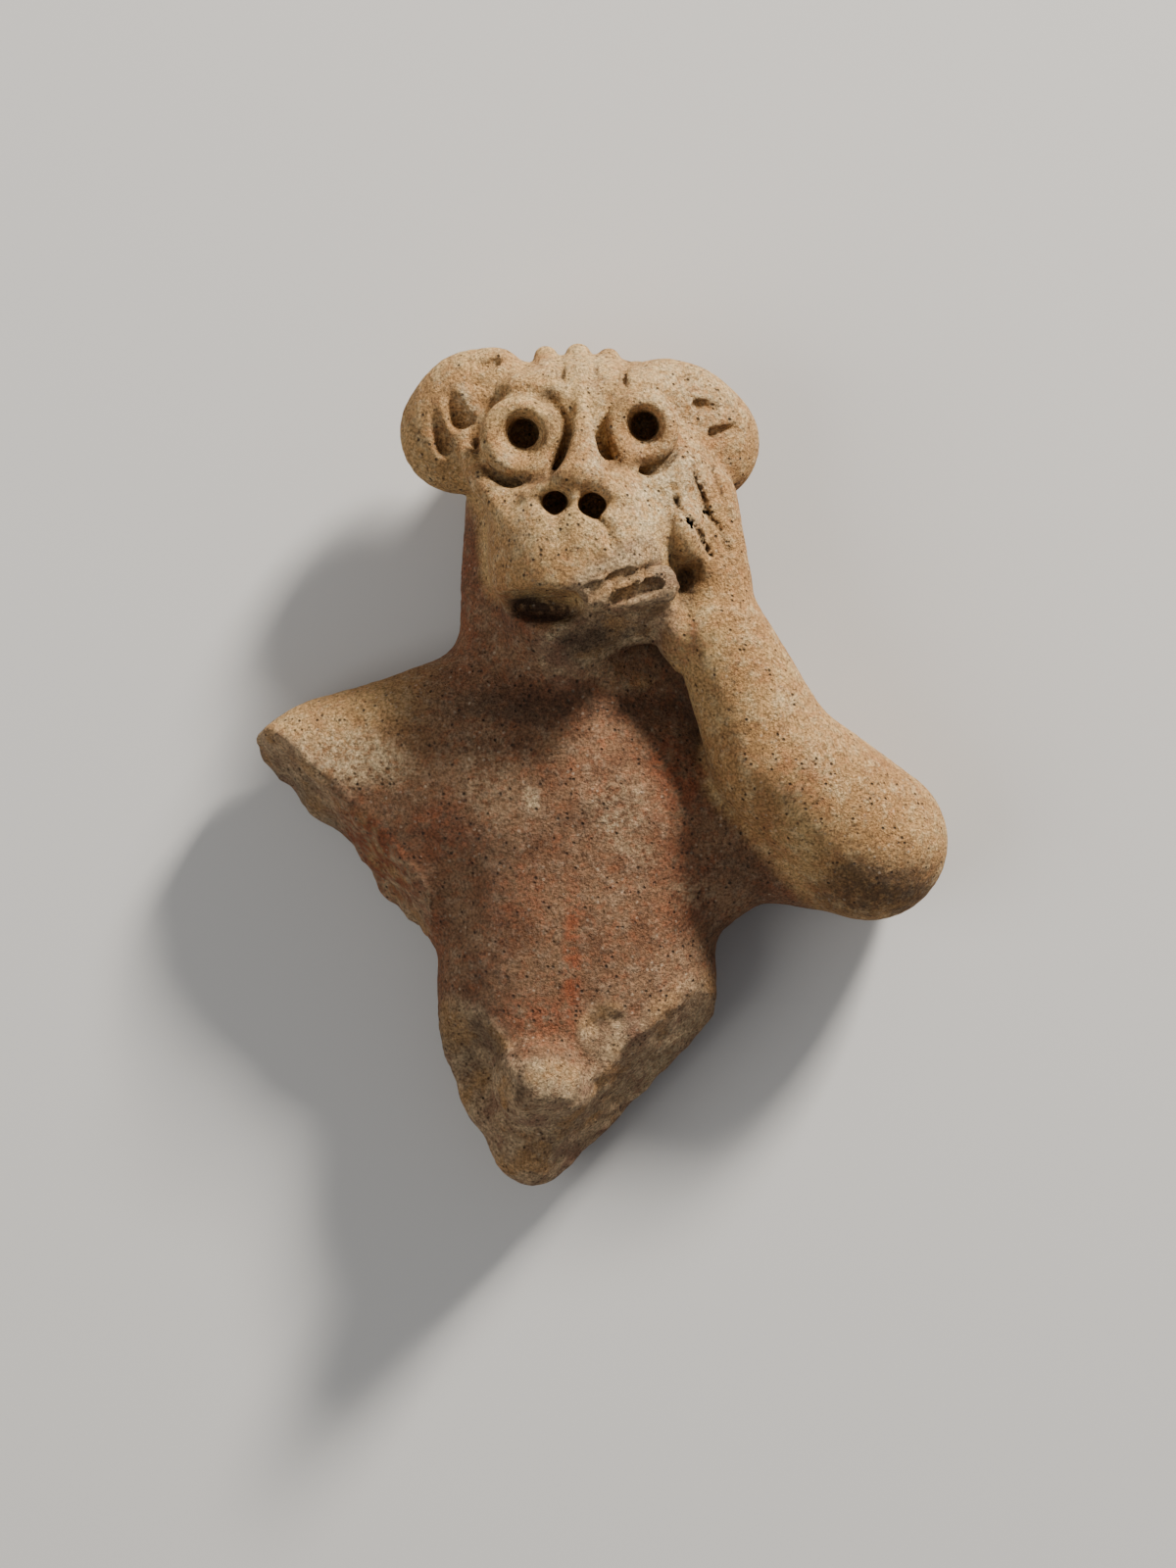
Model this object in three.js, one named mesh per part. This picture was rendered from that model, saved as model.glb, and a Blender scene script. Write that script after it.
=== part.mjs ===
// A hand-modelled clay figurine, broken below the belly and at its right shoulder: a monkey-like
// figure with ringed eyes, a long muzzle, round ears and its left hand on its cheek.
// It lies on its back. X runs to the viewer's right, Y towards the crown and Z towards the viewer,
// and the origin is on the flat spot under the chest.
import * as THREE from 'three';
import { triTable } from 'three/addons/objects/MarchingCubes.js';

// Driving sizes, in millimetres. Torso
const BODY_Z = 8.0;
const CHEST_WIDTH = 28.0;
const WAIST_WIDTH = 25.5;
const HIP_WIDTH = 26.2;
const TIP_WIDTH = 8.4;
const TORSO_FLATNESS = 0.6;
const WAIST_BELOW_CHEST = 13.8;
const HIP_BELOW_WAIST = 8.1;
const TIP_BELOW_HIP = 13.1;
const CHEST_Y = -1.2;
const WAIST_Y = CHEST_Y - WAIST_BELOW_CHEST;
const HIP_Y = WAIST_Y - HIP_BELOW_WAIST;
const TIP_Y = HIP_Y - TIP_BELOW_HIP;

// Arms: the right one is a stump, the left one is bent up to the cheek
const SHOULDER_WIDTH = 28.2;
const STUMP_REACH = 25.8;
const STUMP_END_WIDTH = 15.0;
const UPPER_ARM_WIDTH = 16.0;
const UPPER_ARM_END_WIDTH = 14.4;
const ELBOW_REACH = 29.7;
const ELBOW_HEIGHT = 10.6;
const ELBOW_WIDTH = 16.0;
const FOREARM_WIDTH = 13.2;
const WRIST_WIDTH = 9.6;
const HAND_WIDTH = 7.4;

// Neck and head
const NECK_WIDTH = 23.0;
const NECK_BASE_WIDTH = 24.8;
const NECK_FLATNESS = 0.66;
const THROAT_WIDTH = 12.8;
const HEAD_ABOVE_CHEST = 35.3;
const HEAD_Y = CHEST_Y + HEAD_ABOVE_CHEST;
const HEAD_WIDTH = 24.4;
const HEAD_HEIGHT = 15.8;
const HEAD_DEPTH = 18.4;
const HEAD_Z = 11.5;
const BROW_THICKNESS = 5.4;
const EAR_WIDTH = 12.8;
const EAR_THICKNESS = 9.6;
const EAR_REACH = 12.4;
const CREST_WIDTH = 2.5;
const MUZZLE_WIDTH = 19.5;
const MUZZLE_DEPTH = 22.6;
const MUZZLE_LENGTH = 11.3;

// Marks of the fingers and tools
const EYE_HOLE_WIDTH = 4.1;
const EYE_HOLE_DEPTH = 7.2;
const RING_THICKNESS = 2.6;
const RING_WIDTH = 6.1;
const NOSTRIL_WIDTH = 2.5;
const NOSTRIL_DEPTH = 9.0;
const GOUGE_WIDTH = 1.3;
const STROKE_WIDTH = 1.0;
const STROKE_DEPTH = 0.62;
const BREAK_ROUGHNESS = 0.35;

// How finely the form is sampled, and how many faces describe it
const SAMPLE_STEP = 0.64;
const FACE_COUNT = 9800;
const CLAY = new THREE.MeshStandardMaterial({ color: 0xb9834f, roughness: 0.92, metalness: 0 });

// Blends two distances with a fillet about k wide
function blend(a, b, k) {
  const h = THREE.MathUtils.clamp(0.5 + (0.5 * (b - a)) / k, 0, 1);
  return b + (a - b) * h - k * h * (1 - h);
}

// Joins forms with fillets about k wide
const join = (k, body, ...more) => (x, y, z) => {
  let d = body(x, y, z);
  for (let i = 0; i < more.length; i += 1) {
    d = blend(d, more[i](x, y, z), k);
  }
  return d;
};

// Carves tools out of a form
const carve = (k, body, ...tools) => (x, y, z) => {
  let d = body(x, y, z);
  for (let i = 0; i < tools.length; i += 1) {
    d = -blend(-d, tools[i](x, y, z), k);
  }
  return d;
};

// Cuts away what is beyond a face
const trim = (k, body, beyond) => (x, y, z) => -blend(-body(x, y, z), -beyond(x, y, z), k);

// Reads a form only near it: further off, the distance to a ball round it will do
const CLEAR = 5;
const within = (centre, radius, form) => (x, y, z) => {
  const away = Math.hypot(x - centre[0], y - centre[1], z - centre[2]) - radius;
  return away > CLEAR ? away : form(x, y, z);
};

// A roll of clay from a to b, deep times as thick in Z; a square above 2 flattens its sides
function roll(a, b, startRadius, endRadius, deep = 1, square = 2) {
  const [ax, ay, az] = a;
  const dx = b[0] - ax;
  const dy = b[1] - ay;
  const dz = (b[2] - az) / deep;
  const length = Math.hypot(dx, dy, dz);
  const slope = THREE.MathUtils.clamp((endRadius - startRadius) / length, -0.95, 0.95);
  const lean = slope / (length * Math.sqrt(1 - slope * slope));
  const across = square === 2
    ? (x, y, z) => Math.sqrt(x * x + y * y + z * z)
    : (x, y, z) => (Math.abs(x) ** square + Math.abs(y) ** square + Math.abs(z) ** square) ** (1 / square);
  return (x, y, z) => {
    const px = x - ax;
    const py = y - ay;
    const pz = (z - az) / deep;
    const t = (px * dx + py * dy + pz * dz) / (length * length);
    const side = across(px - t * dx, py - t * dy, pz - t * dz);
    const h = Math.min(Math.max(t + side * lean, 0), 1);
    const out = across(px - h * dx, py - h * dy, pz - h * dz);
    return (out - startRadius - (endRadius - startRadius) * h) * Math.min(1, deep);
  };
}

// An egg of clay with half sizes along its axes, turned about Z by degrees
function ball(centre, [rx, ry, rz], turn = 0) {
  const [cx, cy, cz] = centre;
  const c = Math.cos(THREE.MathUtils.degToRad(turn));
  const s = Math.sin(THREE.MathUtils.degToRad(turn));
  return (x, y, z) => {
    const qx = x - cx;
    const qy = y - cy;
    const u = (qx * c + qy * s) / rx;
    const v = (qy * c - qx * s) / ry;
    const w = (z - cz) / rz;
    const out = Math.sqrt(u * u + v * v + w * w);
    const steep = Math.sqrt((u / rx) ** 2 + (v / ry) ** 2 + (w / rz) ** 2) + 1e-9;
    return (out * (out - 1)) / steep;
  };
}

// The half space behind a face
function face(point, normal) {
  const n = new THREE.Vector3(...normal).normalize();
  const offset = n.dot(new THREE.Vector3(...point));
  return (x, y, z) => x * n.x + y * n.y + z * n.z - offset;
}

// A ring lying in the XY plane
function ring(centre, radius, thickness) {
  return (x, y, z) => {
    const out = Math.hypot(x - centre[0], y - centre[1]) - radius;
    return Math.hypot(out, z - centre[2]) - thickness / 2;
  };
}

// Uneven lumps from -1 to 1, about size across
function lumps(size, seed) {
  const chance = (i, j, k) => {
    const n = Math.sin(i * 127.1 + j * 311.7 + k * 74.7) * 43758.5453;
    return n - Math.floor(n);
  };
  const ease = (t) => t * t * (3 - 2 * t);
  return (x, y, z) => {
    const shift = seed * 17.3;
    const i = Math.floor(x / size + shift);
    const j = Math.floor(y / size + shift);
    const k = Math.floor(z / size + shift);
    const u = ease(x / size + shift - i);
    const v = ease(y / size + shift - j);
    const w = ease(z / size + shift - k);
    const along = (b, c) => chance(i, j + b, k + c) * (1 - u) + chance(i + 1, j + b, k + c) * u;
    const across = (c) => along(0, c) * (1 - v) + along(1, c) * v;
    return 2 * (across(0) * (1 - w) + across(1) * w) - 1;
  };
}

// The uneven surface of a break
const coarse = lumps(2.6, 1);
const fine = lumps(1.2, 2);
const broken = (form, amount = 1) => (x, y, z) => {
  const d = form(x, y, z);
  return Math.abs(d) > CLEAR ? d : d + amount * BREAK_ROUGHNESS * (coarse(x, y, z) + 0.5 * fine(x, y, z));
};

// Chest, belly and the wedge that is left of the hips
function makeTorso() {
  const chest = [0, CHEST_Y, BODY_Z];
  const waist = [-0.3, WAIST_Y, BODY_Z];
  const hip = [-0.2, HIP_Y + 0.8, BODY_Z - 0.3];
  const tip = [-4.15, TIP_Y, BODY_Z - 0.6];
  const flat = TORSO_FLATNESS;
  let torso = join(2,
    roll(chest, waist, CHEST_WIDTH / 2, WAIST_WIDTH / 2, flat, 2.3),
    roll(waist, hip, WAIST_WIDTH / 2, HIP_WIDTH / 2, flat, 2.3));
  torso = join(3, torso,
    ball([0.2, CHEST_Y - 3.5, BODY_Z + 3.4], [12.5, 12, 6.9]),
    ball([0.2, WAIST_Y - 0.5, BODY_Z + 3.1], [11.2, 12.5, 6.3]));
  const keel = roll([-2.8, HIP_Y - 3.9, BODY_Z + 2], tip, 6.4, TIP_WIDTH / 2);
  const wedge = roll(hip, tip, HIP_WIDTH / 2, TIP_WIDTH / 2, flat, 2.1);
  const flank = ball([-8.2, HIP_Y - 8.2, BODY_Z - 0.6], [3.8, 4.2, 4.6]);
  return addBreaks(join(1, join(2.5, torso, join(2.5, wedge, keel)), flank));
}

// Where the body broke: a cut side, a scoop, a lump of clay left standing and a flake scar
function addBreaks(torso) {
  const side = [14.3, HIP_Y - 0.5, 5.5];
  let left = trim(0.35, torso, broken(face(side, [0.67, -0.65, 0.42]), 0.7));
  left = trim(0.35, left, broken(face(side, [0.715, -0.68, -0.15]), 0.7));
  left = carve(0.35, left, broken(ball([-13.8, HIP_Y - 7.6, BODY_Z + 8.4], [7.4, 9.4, 7.5], 24), 0.6));
  let lump = ball([-3.6, HIP_Y - 6.9, BODY_Z + 5.6], [5.1, 4.8, 6.3]);
  lump = trim(0.4, lump, broken(face([-2.6, HIP_Y - 6.2, BODY_Z + 11.1], [0.34, 0.4, 0.85]), 1.8));
  lump = trim(0.4, lump, broken(face([-1.2, HIP_Y - 10.3, BODY_Z + 8.4], [0.14, -0.86, 0.49])));
  lump = trim(0.4, lump, broken(face([-8.1, HIP_Y - 5, BODY_Z + 8], [-0.92, -0.16, 0.36])));
  left = join(0.9, left, lump);
  return carve(0.3, left, broken(ball([2.9, HIP_Y - 1.9, BODY_Z + 13.15], [5.2, 6, 4.9], 25), 1.3));
}

// The stump of the right arm, broken off at the shoulder
function makeStump() {
  const root = [-4.2, CHEST_Y + 2.4, BODY_Z];
  const end = [root[0] - STUMP_REACH, CHEST_Y + 0.9, BODY_Z - 0.4];
  let stump = join(3,
    roll(root, end, SHOULDER_WIDTH / 2, STUMP_END_WIDTH / 2, 0.7),
    ball([-17.3, CHEST_Y - 9.2, BODY_Z], [5.2, 7.2, 5.5], -40));
  stump = trim(1, stump, broken(face([end[0] + 5.7, CHEST_Y - 3.7, 6.5], [-0.735, -0.668, 0.3])));
  stump = trim(1, stump, face([end[0] - 1.7, CHEST_Y + 7.2, BODY_Z], [-0.66, 0.75, 0]));
  return carve(1, stump, broken(ball([end[0] + 3.1, CHEST_Y - 7.1, 6], [4.2, 4.2, 9])));
}

// Where the left arm bends and ends, from the shoulder to the hand on the cheek
const ELBOW = [ELBOW_REACH, CHEST_Y - 4.7, ELBOW_HEIGHT];
const HAND = [12.8, HEAD_Y - 5.3, 16.6];
const WRIST = [14.3, HEAD_Y - 18.7, 17.6];
const FOREARM = [20.1, (ELBOW[1] + WRIST[1]) / 2 - 2.2, 16];

function makeUpperArm() {
  const end = [ELBOW[0] - 0.4, ELBOW[1] - 0.6, BODY_Z - 0.6];
  return join(3,
    roll([8.2, CHEST_Y - 0.8, BODY_Z - 0.8], end, UPPER_ARM_WIDTH / 2, UPPER_ARM_END_WIDTH / 2),
    ball([13.7, CHEST_Y - 8, BODY_Z - 0.5], [3.8, 2.8, 5], -40));
}

function makeForearm() {
  return join(0.8,
    roll(ELBOW, FOREARM, ELBOW_WIDTH / 2, FOREARM_WIDTH / 2, 0.95),
    roll(FOREARM, WRIST, FOREARM_WIDTH / 2, WRIST_WIDTH / 2, 0.95));
}

function makeHand() {
  const heel = [HAND[0] + 1.2, HAND[1] - 8.9, HAND[2] + 0.6];
  const thumbRoot = [HAND[0] + 1.3, HAND[1] - 8.2, HAND[2] + 2.2];
  const thumbBend = [HAND[0] - 0.8, HAND[1] - 5.1, HAND[2] + 4];
  const thumbTip = [HAND[0] - 2.4, HAND[1] - 2.4, HAND[2] + 4];
  const thumb = join(0.4, roll(thumbRoot, thumbBend, 1.5, 1), roll(thumbBend, thumbTip, 1, 0.7));
  const web = ball([HAND[0] - 2, HAND[1] - 3.4, HAND[2] + 3.2], [2.1, 3.5, 4.9]);
  const palm = roll(heel, HAND, HAND_WIDTH / 2, HAND_WIDTH / 2 - 0.3, 0.95);
  return within(HAND, 14, join(0.8, palm, thumb, web));
}

// Places on the head, by how far right of its middle and above its centre they are: in its depth,
// on the face and on the sloping front of the muzzle
const FACE_Z = HEAD_Z + HEAD_DEPTH / 2;
const onHead = (x, y, z) => [x, HEAD_Y + y, HEAD_Z + z];
const onFace = (x, y, proud) => [x, HEAD_Y + y, FACE_Z + proud];
const MUZZLE_SLOPE = 7.8 / 11.3;
const onMuzzle = (x, y, proud) => {
  const front = HEAD_Z - 2.9 + MUZZLE_DEPTH / 2 - MUZZLE_SLOPE * Math.max(y, -MUZZLE_LENGTH);
  return [x, HEAD_Y + y, front + proud];
};

function makeEars() {
  const round = EAR_WIDTH / 2;
  const thick = EAR_THICKNESS / 2;
  const left = join(1,
    ball(onHead(0.6 - EAR_REACH, 1.8, 0), [round, round, thick]),
    ball(onHead(-10.2, 4.2, 0.5), [round, round - 0.4, thick]),
    ball(onHead(-8.3, 7.5, 0.9), [2.6, 2.7, thick * 0.75]));
  const right = join(1.3,
    ball(onHead(EAR_REACH, 0.6, 0.5), [round - 0.4, round - 0.2, thick]),
    ball(onHead(9.9, 2.8, 1), [round - 0.2, round - 0.3, thick]),
    ball(onHead(8.5, 7, 0.9), [2.2, 2.1, thick * 0.75]));
  return { left, right };
}

// The muzzle ends in a slanting underside, cut away more on its left
function cutChin(head) {
  const cut = trim(1.4, head, face(onHead(1, -15.6, 8.5), [0, -1, -0.16]));
  return trim(2.4, cut, face(onHead(-9.3, -15.7, 8.5), [-0.72, -0.68, -0.1]));
}

// The broken jaw, the gape over it and the torn upper lip, a slab and a shelf with two hollows
function addMouth(clay) {
  const jaw = trim(0.4,
    roll(onHead(-1.8, -17.5, 5), onHead(6.5, -16.2, 5.8), 3.5, 3.8, 1.5),
    broken(face(onHead(1.6, -18.8, 8.6), [0.14, -0.62, 0.77]), 1.2));
  const gape = join(0.8,
    ball(onMuzzle(-3.9, -16.4, -3.4), [4.8, 1.85, 7], 2),
    roll(onMuzzle(-6.9, -15.9, -3.2), onMuzzle(-0.6, -15.4, -3.4), 1.1, 0.8, 3));
  const slab = roll(onMuzzle(2.5, -15.5, -1.3), onMuzzle(8, -14.1, -1.3), 1.9, 1.9, 0.6);
  const shelf = roll(onMuzzle(0.9, -13.7, -1.2), onMuzzle(5.8, -11.9, -1.2), 0.9, 0.8);
  const dish = roll(onMuzzle(3.3, -15.7, -0.2), onMuzzle(7.6, -13.9, -0.3), 0.75, 0.7, 0.8);
  const tear = roll(onMuzzle(0.5, -14.5, -0.4), onMuzzle(5, -12.5, -0.4), 0.3, 0.45);
  const near = (form) => within(onMuzzle(1, -16, -3), 12, form);
  let mouth = join(1.2, clay, near(jaw));
  mouth = carve(0.8, mouth, near(broken(gape, 0.5)));
  mouth = join(0.5, mouth, near(broken(slab)), near(broken(shelf, 0.8)));
  return carve(0.3, mouth, near(broken(dish, 0.8)), near(broken(tear, 0.4)));
}

// The nose is a pyramid of rolls: a bridge, its middle and sides, two wings, and ridges under it
function makeNose() {
  const crown = onFace(0.6, 2, 2.2);
  const pyramid = join(0.9,
    roll(onFace(0.1, 7.8, -3.1), crown, 0.7, 0.75),
    roll(crown, onMuzzle(0.2, -3, 3.9), 0.9, 1.8),
    roll(crown, onMuzzle(-1.4, -3, 3.9), 0.8, 1),
    roll(crown, onMuzzle(1.7, -3.2, 4.1), 0.8, 1),
    roll(onMuzzle(-1.2, -3.1, 3.7), onMuzzle(-4.8, -5, 0.9), 1.1, 0.7),
    roll(onMuzzle(1.6, -3.3, 4), onMuzzle(4.8, -5.7, 1.3), 1, 0.7));
  const septum = roll(onMuzzle(-0.4, -4.2, 3.3), onMuzzle(0.1, -9.8, 0.4), 0.8, 0.6);
  const ridge = roll(onMuzzle(1.4, -7.2, 0.4), onMuzzle(2.6, -10.6, 0.2), 0.45, 0.4);
  return join(0.5, pyramid, septum, ridge);
}

// Each eye is a ring of clay round a deep poked hole, with a pressed line under the ring
function addEye(head, x, y, size) {
  const middle = onFace(x, y, 0.4);
  const radius = (RING_WIDTH / 2) * size;
  const thickness = RING_THICKNESS * size;
  const pressed = ring([x * 0.9, middle[1] - 0.6, middle[2] + 0.2], radius + thickness / 2, 0.8);
  const lid = join(0.5, ring(middle, radius, thickness), ball(middle, [radius, radius, 1.1]));
  const hole = roll(onFace(x + 0.3, y + 0.4, 3.3), onFace(x + 0.4, y + 0.5, 3.3 - EYE_HOLE_DEPTH),
    EYE_HOLE_WIDTH * 0.42, EYE_HOLE_WIDTH * 0.34);
  const funnel = ball(onFace(x + 0.2, y + 0.1, 1.9), [2.2 * size, 2.5 * size, 1.9]);
  return carve(0.6, join(0.35, carve(0.6, head, pressed), lid), join(0.9, hole, funnel));
}

// A row of small rolls pressed on along the crown and down the forehead
function makeCrest() {
  const places = [[-3.3, 9.3, 1], [0, 9.5, 1.05], [3.1, 9.1, 1], [6, 8, 0.8]];
  const lobes = places.map(([x, y, size]) => roll(onHead(x, y, -0.5), onHead(x * 0.9, y - 4, 7.6),
    (CREST_WIDTH / 2) * size, CREST_WIDTH * 0.3 * size));
  return join(0.4, ...lobes);
}

function makeHead() {
  let head = ball(onHead(0.2, 0, 0), [HEAD_WIDTH / 2, HEAD_HEIGHT / 2, HEAD_DEPTH / 2]);
  const muzzleEnd = onHead(0.6, -MUZZLE_LENGTH, -2.9 + MUZZLE_SLOPE * MUZZLE_LENGTH);
  const muzzle = roll(onHead(0.5, 0, -2.9), muzzleEnd, MUZZLE_WIDTH / 2,
    MUZZLE_WIDTH / 2, MUZZLE_DEPTH / MUZZLE_WIDTH, 2.5);
  head = join(2.5, head, muzzle);
  head = join(2, head, roll(onHead(-5.5, 4.8, 5.3), onHead(6.7, 5, 5.3),
    BROW_THICKNESS / 2, BROW_THICKNESS / 2, 1.15));
  const ears = makeEars();
  head = join(2, join(1.3, head, ears.left), ears.right);
  head = cutChin(head);
  const cheekFold = join(0.5,
    roll(onHead(-11.2, -0.6, 5.8), onHead(-9, -4.4, 9.1), 1.1, 1.1),
    roll(onHead(-9, -4.4, 9.1), onHead(-6.3, -8.2, 11.7), 1.1, 0.8));
  head = join(1.6, head, cheekFold);
  head = carve(1.2, head,
    ball(onFace(-1.6, 2.8, 2.4), [1.5, 4.8, 1.8], -8),
    ball(onFace(2.5, 3.1, 2.6), [1.3, 4.8, 1.8], 8));
  head = join(2, head,
    ball(onHead(9.3, -3.4, 4.6), [4.3, 4.6, 6]),
    ball(onHead(-8.6, -2.6, 5.6), [2.4, 2.6, 4.2]),
    ball(onHead(9.4, -0.6, 5.2), [2.6, 2.4, 4.2]));
  head = join(0.8, head, makeNose());
  head = addEye(head, -5.8, 0.9, 1);
  head = addEye(head, 6.4, 1.7, 0.9);
  const nostrils = [[-2.3, -6.1, 0.95], [1.4, -6.4, 1.05]].map(([x, y, size]) =>
    roll(onMuzzle(x, y, 6.5), onMuzzle(x, y + 0.7, 6.5 - NOSTRIL_DEPTH), (NOSTRIL_WIDTH / 2) * size, size));
  return within([0, HEAD_Y - 3, HEAD_Z + 3], 22, join(0.4, carve(0.5, head, ...nostrils), makeCrest()));
}

// Short tool marks in the ears and the crest, and the hollow over the left eye: where each begins and
// ends on the head, and its widths
function gouges() {
  const wide = GOUGE_WIDTH / 2;
  const marks = [
    [[-13.8, 6.4, 5.6], [-12, 2.9, 4.5], 1, 1.6],
    [[-15.3, 4.3, 4.8], [-13.5, 0.1, 3.9], 0.75, 1.25],
    [[-9.6, 8.3, 3.9], [-8.4, 8.7, 3.7], 0.9, 0.95],
    [[-10.3, 6.5, 4.9], [-9.8, 6.7, 4.9], 0.75, 0.75],
    [[11.2, 7.2, 4.1], [11.8, 7.3, 4.1], 0.9, 0.9],
    [[12.1, 4.3, 5], [13.9, 4.1, 4.8], 1, 0.85],
    [[13.7, 1.4, 4.9], [15.9, 2, 4.1], 1.05, 0.8],
    [[-1.9, 9.7, 2.2], [-1.7, 6.3, 8.7], 0.9, 0.5],
    [[1.5, 9.9, 2.2], [1.6, 6.5, 8.7], 0.8, 0.5],
    [[4.7, 9.3, 1.4], [4.5, 6.3, 8.3], 0.9, 0.5],
    [[-3, 5.5, 9.4], [-2.2, 4.7, 9.8], 1.5, 1.5],
  ];
  return marks.map(([from, to, start, end]) =>
    within(onHead(...from), 9, roll(onHead(...from), onHead(...to), wide * start, wide * end)));
}

// Strokes drawn into the wet clay, for fingers and grooves under the nostrils: the two ends of each,
// right of the head's middle and above its centre, and its shares of the usual width and depth
const STROKES = [
  [[9.7, -5.4], [11.2, -7.6], 0.6, 0.6],
  [[11.2, -7.6], [13.5, -11], 0.55, 0.85],
  [[11.5, -2.6], [13.1, -6.6], 0.5, 0.85],
  [[13.1, -6.6], [15.3, -10.6], 0.5, 0.75],
  [[13.5, -2.1], [14.3, -4.6], 0.45, 0.6],
  [[14.3, -4.6], [15.4, -7.4], 0.45, 0.4],
  [[-2.4, -6.9], [-2.1, -9.5], 1.6, 0.5],
  [[1.9, -7.2], [4, -10.6], 1, 0.8],
];

function strokeDepth(x, y, z) {
  const front = THREE.MathUtils.clamp((z - HEAD_Z - 2.5) / 3, 0, 1);
  if (front === 0) {
    return 0;
  }
  const waver = 0.16 * Math.sin(y * 1.9 + 1.2 * Math.sin(y * 3.3));
  let depth = 0;
  for (const [[ax, ay], [bx, by], width, deep] of STROKES) {
    const [dx, dy] = [bx - ax, by - ay];
    const [px, py] = [x + waver - ax, y - HEAD_Y - ay];
    const h = THREE.MathUtils.clamp((px * dx + py * dy) / (dx * dx + dy * dy), 0, 1);
    const out = Math.hypot(px - h * dx, py - h * dy) / ((width * STROKE_WIDTH) / 2);
    depth += deep * STROKE_DEPTH * Math.exp(-out * out);
  }
  return depth * front;
}

function makeFigure() {
  const neck = roll([0.1, HEAD_Y - 4.2, BODY_Z - 0.4], [0, CHEST_Y + 7.7, BODY_Z - 0.6],
    NECK_WIDTH / 2, NECK_BASE_WIDTH / 2, NECK_FLATNESS, 2.2);
  const throat = roll(onHead(-1.5, -14.5, 4.5), [-0.5, CHEST_Y + 12, BODY_Z + 1],
    THROAT_WIDTH / 2, THROAT_WIDTH / 2 + 0.2);
  let clay = join(5, join(3, makeTorso(), makeStump()), makeUpperArm());
  clay = join(1.9, clay, neck, throat);
  clay = addMouth(join(1.2, clay, makeHead()));
  clay = join(1.2, clay, makeForearm(), makeHand());
  const knobTop = [WRIST[0] - 5.1, WRIST[1] - 1.2, WRIST[2] - 1.2];
  const knobEnd = [WRIST[0] - 4, WRIST[1] - 3.4, WRIST[2] - 0.6];
  const knob = roll(knobTop, knobEnd, 1, 0.7);
  const clayBehindHand = ball([WRIST[0] - 4.2, WRIST[1] + 0.3, WRIST[2] - 0.8], [2.4, 3.5, 4.3]);
  clay = join(1, clay, within(WRIST, 10, clayBehindHand));
  clay = carve(0.5, join(0.5, clay, within(WRIST, 8, broken(knob, 0.8))), ...gouges());
  const pressed = lumps(7, 3);
  return (x, y, z) => Math.max(clay(x, y, z) + strokeDepth(x, y, z) + 0.12 * pressed(x, y, z), -z);
}

// The box that the clay can't reach out of, from its outermost places
function reach() {
  const spare = 3;
  const leftSide = Math.max(STUMP_REACH + STUMP_END_WIDTH / 2 + 5, EAR_REACH + EAR_WIDTH / 2);
  const rightSide = Math.max(ELBOW_REACH + ELBOW_WIDTH / 2, EAR_REACH + EAR_WIDTH / 2);
  const bottom = Math.min(TIP_Y - TIP_WIDTH / 2, ELBOW[1] - ELBOW_WIDTH / 2);
  const crestTop = 9.5 + CREST_WIDTH;
  const earTop = 4.2 + EAR_WIDTH / 2;
  const top = HEAD_Y + Math.max(crestTop, earTop, HEAD_HEIGHT / 2);
  const lipFront = onMuzzle(0, -MUZZLE_LENGTH, 4)[2];
  const front = Math.max(lipFront, ELBOW_HEIGHT + ELBOW_WIDTH / 2);
  return {
    low: [-leftSide - spare, bottom - spare, -SAMPLE_STEP * 1.5],
    high: [rightSide + spare, top + spare, front + spare],
  };
}

// Samples the form on a grid and joins its zero surface up as faces with shared points
function sampleSurface(form, low, high, step) {
  const count = low.map((v, i) => Math.ceil((high[i] - v) / step) + 1);
  const [nx, ny, nz] = count;
  const index = (i, j, k) => i + nx * (j + ny * k);
  const value = new Float32Array(nx * ny * nz).fill(1e3);
  const block = 4;
  const nearby = block * step * 1.9;
  for (let k = 0; k < nz; k += block) {
    for (let j = 0; j < ny; j += block) {
      for (let i = 0; i < nx; i += block) {
        const half = (block / 2) * step;
        const [x, y, z] = [low[0] + i * step + half, low[1] + j * step + half, low[2] + k * step + half];
        const middle = form(x, y, z);
        for (let c = k; c < Math.min(k + block, nz); c += 1) {
          for (let b = j; b < Math.min(j + block, ny); b += 1) {
            for (let a = i; a < Math.min(i + block, nx); a += 1) {
              value[index(a, b, c)] = Math.abs(middle) > nearby
                ? middle
                : form(low[0] + a * step, low[1] + b * step, low[2] + c * step);
            }
          }
        }
      }
    }
  }
  return joinCells(value, count, low, step);
}

// The corners of a cell, and the two corners of each of its edges, as the table of faces counts them
const CORNERS = [[0, 0, 0], [1, 0, 0], [1, 1, 0], [0, 1, 0], [0, 0, 1], [1, 0, 1], [1, 1, 1], [0, 1, 1]];
const EDGES = [[0, 1], [1, 2], [3, 2], [0, 3], [4, 5], [5, 6], [7, 6], [4, 7],
  [0, 4], [1, 5], [2, 6], [3, 7]];

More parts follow.
